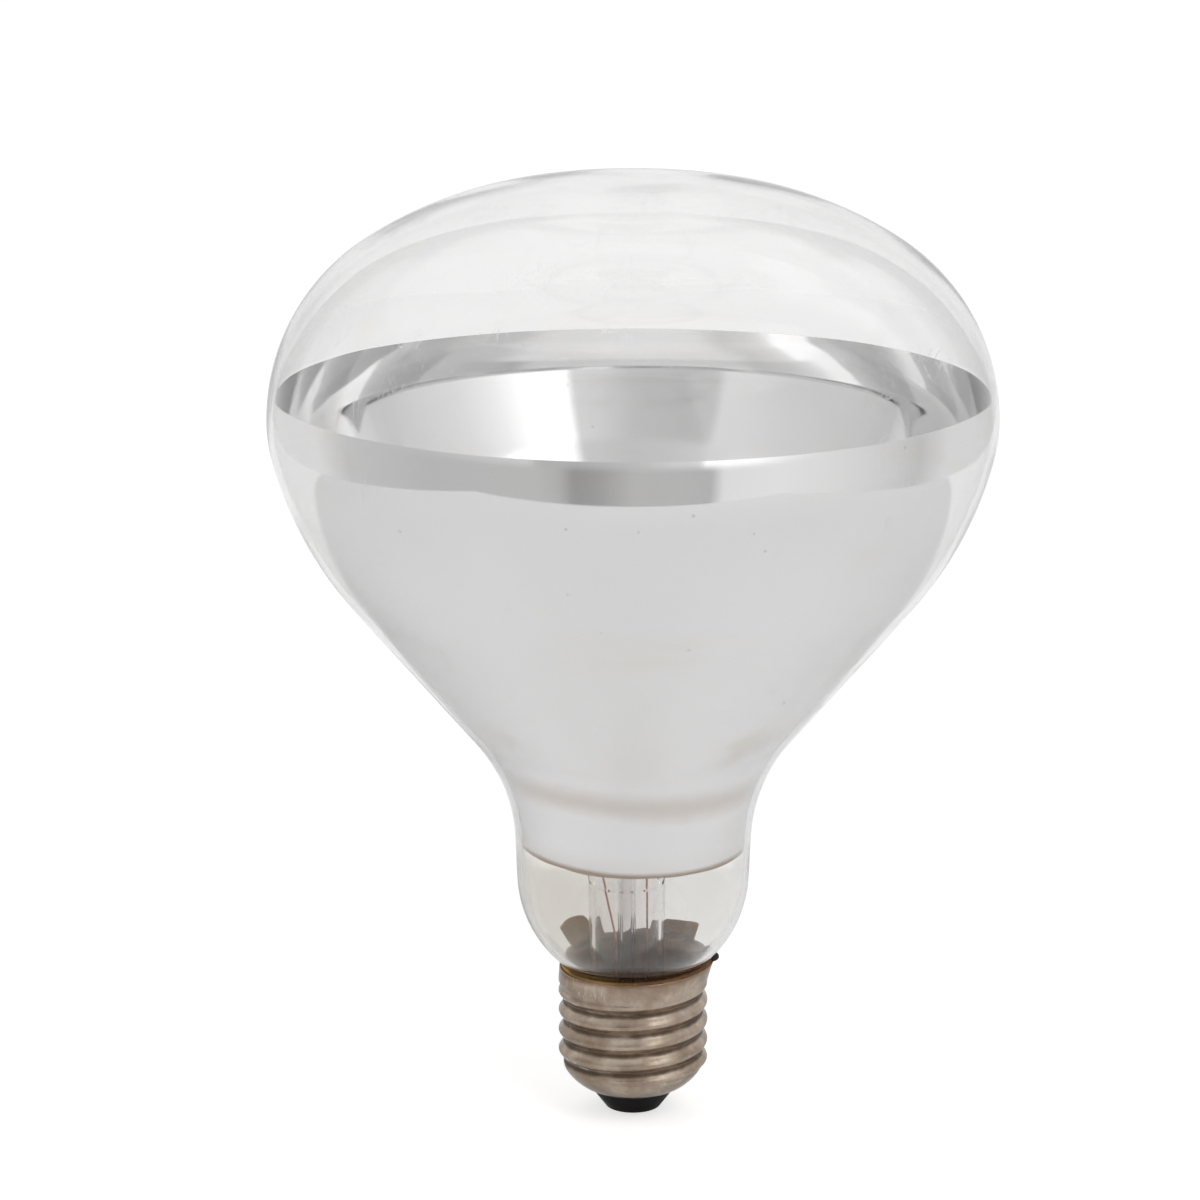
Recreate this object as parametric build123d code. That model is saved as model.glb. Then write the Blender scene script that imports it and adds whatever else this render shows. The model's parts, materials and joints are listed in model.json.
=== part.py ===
from build123d import *
from math import acos, asin, atan2, cos, degrees, hypot, pi, radians, sin, sqrt
import os

# Infrared heat lamp bulb with a screw cap.
# Frame: +Z runs up the lamp's axis from the centre contact to the face, z = 0 at the contact's tip.
# -Y is the side seen in the photograph and +X is on its right. Millimetres and degrees.

# Glass bulb, outside. The half section is a chain of tangent lines and arcs from the seal to the crown.
bulb_diameter = 125.0
neck_diameter = 40.7
seal_diameter = 22.9
glass_wall = 1.1
seal_length = 8.4
throat_radius = 4.0
base_radius = 20.95
neck_taper = 2.6
neck_length = 7.5
waist_radius = 30.9
cone_angle = 40.0
body_radius = 62.7
body_end_angle = 13.3
rim_radius = 22.8
shoulder_radius = 35.7
face_radius = 68.6
crown_radius = 194.0
crown_half_width = 14.0

# Mirror coating inside the bulb, drawn thick enough to be a solid
mirror_thickness = 0.12
mirror_rim_rise = 5.2
mirror_lower_rise = 7.6
mirror_lower_lean = 5.5
mirror_lower_roll = 1.5

# Screw cap: thread of 7 turns to the inch, rolled in thin sheet
thread_diameter = 26.4
thread_root_diameter = 24.5
thread_pitch = 25.4 / 7
sheet_thickness = 0.3
thread_length = 16.1
thread_valley_drop = 3.0
thread_fade_top = 1.7
thread_fade_bottom = 1.6
collar_length = 3.0
mouth_diameter = 27.4
mouth_shift = 0.85
mouth_tilt = 2.4
bowl_diameter = 24.4
bowl_edge_diameter = 16.0
bowl_depth = 3.7
bowl_bulge = 0.45
rings_per_turn = 12

# Insulator and contact at the foot of the cap
insulator_foot_diameter = 9.6
insulator_foot_height = 0.6
insulator_cone_height = 3.9
insulator_dish_depth = 2.6
insulator_rim_width = 1.4
wire_hole_diameter = 2.0
contact_diameter = 8.2
contact_thickness = 0.45
contact_drop = 0.2
solder_diameter = 4.4
solder_flat_diameter = 2.4
solder_bulge_angle = 45.0
side_solder_diameter = 2.6
side_solder_height = 1.8

# Cement between glass and cap
bead_height = 0.9
bead_width = 1.1

# Stem: flare, tube and flattened press. The seal's foot hangs below the cap's mouth.
seal_depth = 10.8
stem_diameter = 13.4
stem_wall = 1.0
stem_offset = -1.1
stem_lean_length = 4.0
stem_tube_length = 17.0
press_taper_length = 7.0
press_height = 7.0
press_width = 15.4
exhaust_diameter = 3.2
exhaust_bore = 1.8
exhaust_length = 35.0
exhaust_hole_rise = 1.8
tube_clearance = 0.1

# Wires
lead_diameter = 0.5
lead_spacing = 8.7
lead_shift = -0.75
seal_wire_diameter = 0.8
outer_lead_diameter = 0.34
lead_bend = 3.0
lead_grip_angle = 3.0
outer_lead_bend = 0.9
outer_lead_knee = 11.0
outer_lead_swerve = 0.8
outer_lead_drop = 1.3
outer_lead_margin = 0.2

# Filament and its supports
filament_rise = 31.9
filament_ring_radius = 13.0
filament_coil_diameter = 1.8
filament_gap_angle = 44.0
hook_count = 5
hook_wire_diameter = 0.4
hook_wrap = 250.0
wrap_clearance = 0.05
rod_diameter = 2.6
button_diameter = 6.4
button_thickness = 3.6
button_drop = 7.5

# Worked-out places
bulb_radius = bulb_diameter / 2
seal_radius = seal_diameter / 2
thread_radius = thread_diameter / 2
bowl_edge_height = insulator_foot_height + insulator_cone_height
thread_bottom_height = bowl_edge_height + bowl_depth
thread_top_height = thread_bottom_height + thread_length
valley_height = thread_top_height - thread_valley_drop
cap_height = thread_top_height + collar_length
cement_top = cap_height + bead_height
seal_height = cap_height - seal_depth
thread_mean_radius = (thread_diameter + thread_root_diameter) / 4
thread_swing = (thread_diameter - thread_root_diameter) / 4
mouth_radius = mouth_diameter / 2
bowl_radius = bowl_diameter / 2
bowl_edge_radius = bowl_edge_diameter / 2
stem_radius = stem_diameter / 2
flare_radius = seal_radius - glass_wall - stem_radius
flare_top = seal_height + stem_wall + flare_radius
tube_bottom = flare_top + stem_lean_length
tube_top = tube_bottom + stem_tube_length
press_bottom = tube_top + press_taper_length
press_top = press_bottom + press_height
press_thickness = exhaust_diameter + 2 * (tube_clearance + stem_wall)
left_lead_x = stem_offset + lead_shift - lead_spacing / 2
right_lead_x = stem_offset + lead_shift + lead_spacing / 2
exhaust_tip_height = press_bottom - exhaust_length
filament_height = press_top + filament_rise
button_height = filament_height - button_drop
side_wire_x = mouth_radius + mouth_shift - sheet_thickness - outer_lead_diameter


def bulb_line(inset):
    """Half section of the bulb moved inwards by inset, as edges from the seal up to the crown."""
    taper = radians(neck_taper)
    cone = radians(cone_angle)
    body_end = radians(body_end_angle)
    neck_base = neck_diameter / 2
    throat_cosine = (throat_radius + base_radius * cos(taper) - neck_base + seal_radius) / (
        throat_radius + base_radius
    )
    throat_angle = degrees(acos(throat_cosine))
    cone_start = neck_base + neck_length * sin(taper) + waist_radius * (cos(taper) - cos(cone))
    cone_end = (
        bulb_radius - body_radius * (cos(body_end) - cos(cone)) - rim_radius * (1 - cos(body_end))
    )
    cone_length = (cone_end - cone_start) / sin(cone)
    crown_angle = asin(crown_half_width / crown_radius)
    face_sine = (bulb_radius - shoulder_radius - (crown_radius - face_radius) * sin(crown_angle)) / (
        face_radius - shoulder_radius
    )
    face_end = degrees(asin(face_sine))
    crown_angle = degrees(crown_angle)

    seal = Line(
        (seal_radius - inset, seal_height),
        (seal_radius - inset, seal_height + seal_length),
    )
    throat = JernArc(seal @ 1, seal % 1, throat_radius + inset, -throat_angle)
    base = JernArc(throat @ 1, throat % 1, base_radius - inset, throat_angle - neck_taper)
    neck = Line(base @ 1, (base @ 1) + (base % 1) * neck_length)
    waist = JernArc(neck @ 1, neck % 1, waist_radius + inset, neck_taper - cone_angle)
    flank = Line(waist @ 1, (waist @ 1) + (waist % 1) * cone_length)
    body = JernArc(flank @ 1, flank % 1, body_radius - inset, cone_angle - body_end_angle)
    rim = JernArc(body @ 1, body % 1, rim_radius - inset, body_end_angle)
    shoulder = JernArc(rim @ 1, rim % 1, shoulder_radius - inset, 90 - face_end)
    face = JernArc(shoulder @ 1, shoulder % 1, face_radius - inset, face_end - crown_angle)
    crown = JernArc(face @ 1, face % 1, crown_radius - inset, crown_angle)
    return [seal, throat, base, neck, waist, flank, body, rim, shoulder, face, crown]


def turned(edges):
    """Solid of revolution about Z from a closed half section drawn as radius and height."""
    return revolve(Plane.XZ * make_face(edges), Axis.Z)


def outlined(points):
    """Closed straight-sided half section through the given points of radius and height."""
    return Polyline(*points, close=True).edges()


def hollow_bulb(outer_inset, inner_inset):
    """Shell of revolution between two insets of the bulb's half section."""
    outer = bulb_line(outer_inset)
    inner = bulb_line(inner_inset)
    foot = Line(inner[0] @ 0, outer[0] @ 0)
    crown = Line(outer[-1] @ 1, inner[-1] @ 1)
    return turned([*outer, crown, *inner, foot])


def solid_bulb():
    """The bulb's outside filled to the axis, for cutting what lies against the glass."""
    outer = bulb_line(0)
    axis = Line((outer[-1] @ 1), (0, seal_height))
    foot = Line((0, seal_height), outer[0] @ 0)
    return turned([*outer, axis, foot])


def reflector():
    """Mirror film on the inside of the glass, from the neck to just above the widest place."""
    line = bulb_line(0)
    lower = (line[3] @ 0).Y + mirror_lower_rise
    upper = (line[8] @ 0).Y + mirror_rim_rise
    film = hollow_bulb(glass_wall, glass_wall + mirror_thickness)
    film = split(film, Plane((0, 0, upper)), keep=Keep.BOTTOM)
    mask = Plane((0, 0, lower)).rotated((mirror_lower_lean, mirror_lower_roll, 0))
    return split(film, mask, keep=Keep.TOP)


def cap_ring(height, inset):
    """Circle of the rolled thread at a height: its centre travels round the axis once a pitch."""
    fade_top = (thread_top_height - height) / thread_fade_top
    fade_bottom = (height - thread_bottom_height) / thread_fade_bottom
    depth = max(0.0, min(1.0, fade_top, fade_bottom))
    depth = depth * depth * (3 - 2 * depth)
    end_radius = thread_radius if fade_top < fade_bottom else bowl_radius
    radius = end_radius + (thread_mean_radius - end_radius) * depth
    crest = 2 * pi * (height - valley_height) / thread_pitch + pi
    swing = thread_swing * depth
    centre = (swing * sin(crest), -swing * cos(crest), height)
    return Plane(centre) * Circle(radius - inset)


def thread_side(inset):
    """Side face of the rolled thread, moved inwards by inset."""
    height = thread_top_height - thread_bottom_height
    count = round(height / thread_pitch * rings_per_turn)
    rings = [cap_ring(thread_bottom_height + height * i / count, inset) for i in range(count + 1)]
    return loft(rings).faces().filter_by(GeomType.PLANE, reverse=True)[0]


def thread_sheet():
    """The rolled part of the cap: one sheet between two thread surfaces and two flat rings."""
    ends = [
        cap_ring(height, 0) - cap_ring(height, sheet_thickness)
        for height in (thread_bottom_height, thread_top_height)
    ]
    sides = [thread_side(0), thread_side(sheet_thickness)]
    return Solid(Shell([*sides, *(end.face() for end in ends)]))


def collar_solid(inset):
    """Plain part above the thread, leaning a little to its mouth, moved inwards by inset."""
    mouth_height = cap_height + mouth_radius * sin(radians(mouth_tilt)) + bead_height
    return loft([
        Plane((0, 0, thread_top_height)) * Circle(thread_radius - inset),
        Plane((mouth_shift, 0, mouth_height)) * Circle(mouth_radius - inset),
    ])


def bowl_solid(inset):
    """Rounded foot of the cap below the thread, moved inwards by inset."""
    floor = bowl_edge_height + inset
    side = SagittaArc((bowl_radius - inset, thread_bottom_height), (bowl_edge_radius, floor), bowl_bulge)
    return turned([
        side,
        Line(side @ 1, (0, floor)),
        Line((0, floor), (0, thread_bottom_height)),
        Line((0, thread_bottom_height), side @ 0),
    ])


def cap_shell():
    """The whole cap as one rolled sheet, open at the foot and trimmed a little askew at the mouth."""
    collar = collar_solid(0) - collar_solid(sheet_thickness)
    opening = Pos(0, 0, bowl_edge_height) * Cylinder(
        bowl_edge_radius - sheet_thickness, thread_bottom_height - bowl_edge_height
    )
    bowl = bowl_solid(0) - bowl_solid(sheet_thickness) - opening
    mouth = Plane((0, 0, cap_height)).rotated((0, -mouth_tilt, 0))
    return split(thread_sheet() + collar + bowl, mouth, keep=Keep.BOTTOM)


def cap_insulator():
    """Dark glass in the foot of the cap: a dish inside the bowl and a cone down to the contact."""
    edge = bowl_edge_radius - sheet_thickness
    foot = insulator_foot_diameter / 2
    recess = insulator_foot_height - contact_drop + contact_thickness
    contact = contact_diameter / 2
    hole = wire_hole_diameter / 2
    dish = bowl_radius - sheet_thickness - insulator_rim_width
    dish_floor = thread_bottom_height - insulator_dish_depth
    cone = turned(outlined([
        (hole, recess),
        (contact, recess),
        (contact, insulator_foot_height),
        (foot, insulator_foot_height),
        (edge, bowl_edge_height),
        (edge, bowl_edge_height + sheet_thickness),
        (hole, bowl_edge_height + sheet_thickness),
    ]))
    hollow = turned(outlined([
        (0, dish_floor),
        (dish / 2, dish_floor),
        (dish, thread_bottom_height),
        (0, thread_bottom_height),
    ]))
    shaft = Pos(0, 0, thread_bottom_height / 2) * Cylinder(hole, thread_bottom_height)
    body = cone + (bowl_solid(sheet_thickness) - hollow) - shaft
    foot_edges = body.edges().filter_by(GeomType.CIRCLE).group_by(Axis.Z)[0].sort_by(SortBy.LENGTH)
    return fillet(foot_edges[-1], (insulator_foot_diameter - contact_diameter) / 4)


def contact_plate():
    """Thin contact disc let into the insulator's foot, with a hole for the wire's end."""
    bottom = insulator_foot_height - contact_drop
    disc = Pos(0, 0, bottom + contact_thickness / 2) * Cylinder(contact_diameter / 2, contact_thickness)
    hole = Pos(0, 0, bottom + contact_thickness / 2) * Cylinder(wire_hole_diameter / 2, contact_thickness)
    return disc - hole


def contact_solder():
    """Solder button on the contact, flattened at its tip, with a plug up the wire hole."""
    plate_bottom = insulator_foot_height - contact_drop
    plate_top = plate_bottom + contact_thickness
    plug = wire_hole_diameter / 2
    flat = solder_flat_diameter / 2
    side = solder_diameter / 2
    bulge = JernArc((side, plate_bottom), (0, -1), (side - flat) / 2, -solder_bulge_angle)
    return turned([
        Line((0, 0), (flat, 0)),
        Line((flat, 0), bulge @ 1),
        bulge,
        Line((side, plate_bottom), (plug, plate_bottom)),
        Line((plug, plate_bottom), (plug, plate_top)),
        Line((plug, plate_top), (0, plate_top)),
        Line((0, plate_top), (0, 0)),
    ])


def basing_cement():
    """Cement that fills the collar round the glass and stands a little proud of its mouth."""
    filling = split(collar_solid(sheet_thickness), Plane((0, 0, cement_top)), keep=Keep.BOTTOM)
    bead = turned(outlined([
        (thread_radius - sheet_thickness, cap_height - bead_height / 2),
        (mouth_radius + bead_width / 3, cement_top - bead_height / 3),
        (mouth_radius, cement_top),
        (thread_radius - sheet_thickness, cement_top),
    ]))
    return filling + bead


def side_solder():
    """Scorched solder that joins the side wire to the mouth of the cap."""
    flatness = side_solder_height / side_solder_diameter
    drop = scale(Sphere(side_solder_diameter / 2), by=(1, 1, flatness))
    return Pos(side_wire_x, 0, cement_top) * drop


def stem_tube(inset):
    """Stem above its flare, moved inwards by inset: leaning foot, straight tube and taper to the press."""
    radius = stem_radius - inset
    foot = Plane((0, 0, flare_top)) * Circle(radius)
    lower = Plane((stem_offset, 0, tube_bottom)) * Circle(radius)
    upper = Plane((stem_offset, 0, tube_top)) * Circle(radius)
    flat = Plane((stem_offset, 0, press_bottom)) * SlotOverall(
        press_width - 2 * inset, press_thickness - 2 * inset
    )
    return loft([foot, lower]) + extrude(lower, stem_tube_length) + loft([upper, flat])


def stem():
    """Glass stem: flare welded to the bulb's foot, tube and the press that grips the wires."""
    lip = seal_radius - glass_wall
    upper = JernArc((lip, seal_height + stem_wall), (-1, 0), flare_radius, -90)
    lower = JernArc((lip, seal_height), (-1, 0), flare_radius + stem_wall, -90)
    flare = turned([
        upper,
        Line(upper @ 1, lower @ 1),
        lower,
        Line((lip, seal_height), (lip, seal_height + stem_wall)),
    ])
    flat = Plane((stem_offset, 0, press_bottom)) * SlotOverall(press_width, press_thickness)
    press = extrude(flat, press_height)
    press = fillet(press.edges().group_by(Axis.Z)[-1], stem_wall / 2)
    riser = Pos(stem_offset, 0, press_bottom + exhaust_hole_rise / 2) * Cylinder(
        exhaust_bore / 2, exhaust_hole_rise
    )
    cross_hole = Pos(stem_offset, 0, press_bottom + exhaust_hole_rise) * Rot(90, 0, 0) * Cylinder(
        exhaust_bore / 2, 2 * press_thickness
    )
    tube = stem_tube(0) - stem_tube(stem_wall)
    return flare + tube + press - riser - cross_hole


def exhaust_tube():
    """Tube that the bulb was emptied through, from the press down to its melted tip."""
    outer = exhaust_diameter / 2
    inner = exhaust_bore / 2
    wall = outer - inner
    tip = exhaust_tip_height
    section = [
        Line((0, tip), (0, tip + wall)),
        CenterArc((0, tip + outer), inner, -90, 90),
        Line((inner, tip + outer), (inner, press_bottom)),
        Line((inner, press_bottom), (outer, press_bottom)),
        Line((outer, press_bottom), (outer, tip + outer)),
        CenterArc((0, tip + outer), outer, -90, 90),
    ]
    return Pos(stem_offset, 0, 0) * turned(section)


def wire(path, diameter):
    """Round wire along a path."""
    start = Plane(path @ 0, z_dir=path % 0)
    return sweep(start * Circle(diameter / 2), path=path)


def support_rod():
    """Glass cane on the press, with the melted button that holds the hooks."""
    rod = rod_diameter / 2
    button = button_diameter / 2
    half = button_thickness / 2
    top = button_height + half
    section = [
        Line((0, press_top), (rod, press_top)),
        Line((rod, press_top), (rod, button_height - half)),
        Line((rod, button_height - half), (button - half, button_height - half)),
        CenterArc((button - half, button_height), half, -90, 180),
        Line((button - half, top), (0, top)),
        Line((0, top), (0, press_top)),
    ]
    return Pos(stem_offset, 0, 0) * turned(section)


def filament():
    """Open ring of coiled wire, drawn as the coil's outside."""
    gap = filament_gap_angle
    coil = Plane.XZ * Pos(filament_ring_radius, filament_height) * Circle(filament_coil_diameter / 2)
    ring = revolve(coil, Axis.Z, 360 - gap)
    return Pos(stem_offset, 0, 0) * Rot(0, 0, 90 + gap / 2) * ring


def support_hook(angle):
    """Hook from the button out to the ring, its end bent round the coil."""
    bend = filament_coil_diameter / 2 + wrap_clearance + hook_wire_diameter / 2
    start = Vector(rod_diameter / 4, button_height)
    reach = Vector(filament_ring_radius, filament_height) - start
    rise = degrees(atan2(reach.Y, reach.X)) - degrees(asin(bend / hypot(reach.X, reach.Y)))
    length = sqrt(reach.X**2 + reach.Y**2 - bend**2)
    arm = Line(start, start + Vector(cos(radians(rise)), sin(radians(rise))) * length)
    hook = JernArc(arm @ 1, arm % 1, bend, hook_wrap)
    path = Plane.XZ * Wire([arm.edge(), hook.edge()])
    return Pos(stem_offset, 0, 0) * Rot(0, 0, angle) * wire(path, hook_wire_diameter)


def inner_lead(foot_x, side):
    """Lead from the press up to one end of the ring, its end bent over the coil."""
    bend = filament_coil_diameter / 2 + wrap_clearance + lead_diameter / 2
    angle = radians(90 - side * (filament_gap_angle / 2 + lead_grip_angle))
    outward = Vector(cos(angle), sin(angle), 0)
    ring_end = Vector(stem_offset, 0, filament_height) + outward * filament_ring_radius
    shoulder = ring_end + outward * bend
    below = Vector(shoulder.X, shoulder.Y, button_height - button_thickness)
    foot = Vector(foot_x, 0, press_top)
    rise = Vector(0, 0, lead_bend)
    run = FilletPolyline(foot, foot + rise, below, shoulder, radius=lead_bend)
    hook_plane = Plane(ring_end, x_dir=outward, z_dir=outward.cross(Vector(0, 0, 1)))
    hook = hook_plane * CenterArc((0, 0), bend, 0, hook_wrap)
    return wire(Wire([*run.edges(), hook.edge()]), lead_diameter)


def seal_wire(foot_x):
    """Short copper-clad wire that passes through the press."""
    return Pos(foot_x, 0, press_bottom + press_height / 2) * Cylinder(seal_wire_diameter / 2, press_height)


def centre_outer_lead():
    """Fine wire from the press, past the exhaust tube, to the centre contact."""
    beside_x = stem_offset - exhaust_diameter / 2 - outer_lead_margin
    beside_y = -exhaust_diameter / 2 - outer_lead_swerve
    path = FilletPolyline(
        (left_lead_x, 0, press_bottom),
        (left_lead_x, 0, press_bottom - 2 * outer_lead_bend),
        (beside_x, beside_y, flare_top + outer_lead_knee),
        (beside_x, beside_y, exhaust_tip_height + outer_lead_drop),
        (0, 0, thread_bottom_height),
        (0, 0, insulator_foot_height),
        radius=outer_lead_bend,
    )
    return wire(path, outer_lead_diameter)


def side_outer_lead():
    """Fine wire from the press round the seal and up between glass and cap to the cap's mouth."""
    gap_radius = seal_radius + outer_lead_diameter / 2 + wrap_clearance
    turn_height = seal_height - outer_lead_drop
    path = FilletPolyline(
        (right_lead_x, 0, press_bottom),
        (right_lead_x, 0, turn_height),
        (gap_radius, 0, turn_height),
        (gap_radius, 0, seal_height + seal_length),
        (side_wire_x - 2 * outer_lead_diameter, 0, cap_height - outer_lead_margin),
        (side_wire_x, 0, cement_top),
        radius=outer_lead_bend,
    )
    return wire(path, outer_lead_diameter)


def build():
    """All pieces by node name."""
    bulb = hollow_bulb(0, glass_wall)
    envelope = solid_bulb()
    shell = cap_shell()

    gap = filament_gap_angle
    hooks = {}
    for number in range(hook_count):
        angle = 90 + gap / 2 + (360 - gap) * (number + 1) / (hook_count + 1)
        hooks[f"filament_hook_{number + 1}"] = support_hook(angle)
    rod = support_rod()
    for hook in hooks.values():
        rod -= hook

    seal_wires = {
        "seal_wire_left": seal_wire(left_lead_x),
        "seal_wire_right": seal_wire(right_lead_x),
    }
    stem_glass = stem()
    for seal in seal_wires.values():
        stem_glass -= seal

    side_lead = side_outer_lead()
    centre_lead = centre_outer_lead()
    cement = basing_cement() - envelope - shell - side_lead
    solder = side_solder() - envelope - shell - cement - side_lead

    return {
        "glass_bulb": bulb,
        "reflector_coating": reflector(),
        "glass_stem": stem_glass,
        "exhaust_tube": exhaust_tube(),
        "support_rod": rod,
        **hooks,
        "filament": filament(),
        "inner_lead_left": inner_lead(left_lead_x, -1),
        "inner_lead_right": inner_lead(right_lead_x, 1),
        **seal_wires,
        "outer_lead_centre": centre_lead,
        "outer_lead_side": side_lead,
        "basing_cement": cement,
        "cap_shell": shell,
        "cap_insulator": cap_insulator(),
        "contact_plate": contact_plate(),
        "contact_solder": contact_solder() - centre_lead,
        "side_solder": solder,
    }


os.makedirs("parts", exist_ok=True)
for name, piece in build().items():
    export_step(piece, f"parts/{name}.step")
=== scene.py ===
"""Looks of the infrared heat lamp bulb: blown glass, mirror film, screw cap and the wire work inside."""

import json
import logging
import math
from dataclasses import dataclass, field
from enum import Enum
from typing import Callable, Sequence, Union

import bpy
import bmesh
from mathutils import Matrix, Vector, noise

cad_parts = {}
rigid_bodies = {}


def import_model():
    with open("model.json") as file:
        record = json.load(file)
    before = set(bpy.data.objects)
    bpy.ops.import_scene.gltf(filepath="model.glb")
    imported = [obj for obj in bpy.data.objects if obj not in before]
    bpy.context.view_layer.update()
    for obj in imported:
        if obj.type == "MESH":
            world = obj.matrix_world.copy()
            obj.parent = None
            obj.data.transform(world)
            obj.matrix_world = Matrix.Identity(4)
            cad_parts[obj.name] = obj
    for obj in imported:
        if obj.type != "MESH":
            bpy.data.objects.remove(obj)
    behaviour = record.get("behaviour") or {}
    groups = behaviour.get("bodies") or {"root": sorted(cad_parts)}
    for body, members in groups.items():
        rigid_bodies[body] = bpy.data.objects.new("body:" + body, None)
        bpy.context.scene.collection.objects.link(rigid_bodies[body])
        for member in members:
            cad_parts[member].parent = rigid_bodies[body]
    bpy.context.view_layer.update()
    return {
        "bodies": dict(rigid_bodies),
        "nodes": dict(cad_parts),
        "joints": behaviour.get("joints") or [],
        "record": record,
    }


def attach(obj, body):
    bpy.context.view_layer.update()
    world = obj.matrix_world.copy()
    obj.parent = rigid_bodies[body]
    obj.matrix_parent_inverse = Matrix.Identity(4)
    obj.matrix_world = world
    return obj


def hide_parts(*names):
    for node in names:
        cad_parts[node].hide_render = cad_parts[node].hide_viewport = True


LOG = logging.getLogger("heat_lamp")
MM = 0.001
STRAIGHT_RATE = 1e-9
ON_AXIS = 1e-6
SMOOTH_UNDER = math.radians(35.0)
SCRATCH_TILT = 0.4
SCRATCH_RUNS = ((0.5, 14.0, 60.0), (-0.9, 18.0, 60.0 * 18.0 / 14.0))

Colour = tuple[float, float, float]
Socket = bpy.types.NodeSocket
Feed = Union[Socket, float, Colour]


class RayKind(Enum):
    """Outputs of the Light Path node that the studio tells apart."""

    CAMERA = "Is Camera Ray"
    GLOSSY = "Is Glossy Ray"
    TRANSMISSION = "Is Transmission Ray"
    SHADOW = "Is Shadow Ray"


class WireKind(Enum):
    """Kinds of wire inside the lamp, with their colour and roughness."""

    NICKEL = ((0.52, 0.50, 0.47), 0.34)
    COPPER_CLAD = ((0.62, 0.27, 0.17), 0.38)
    MOLYBDENUM = ((0.42, 0.41, 0.42), 0.36)


class SolderState(Enum):
    """How the solder looks: as it was cast, or scorched by the heat of the lamp."""

    CLEAN = ((0.50, 0.50, 0.49), 0.34)
    SCORCHED = ((0.045, 0.033, 0.025), 0.55)


# Nodes


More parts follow.
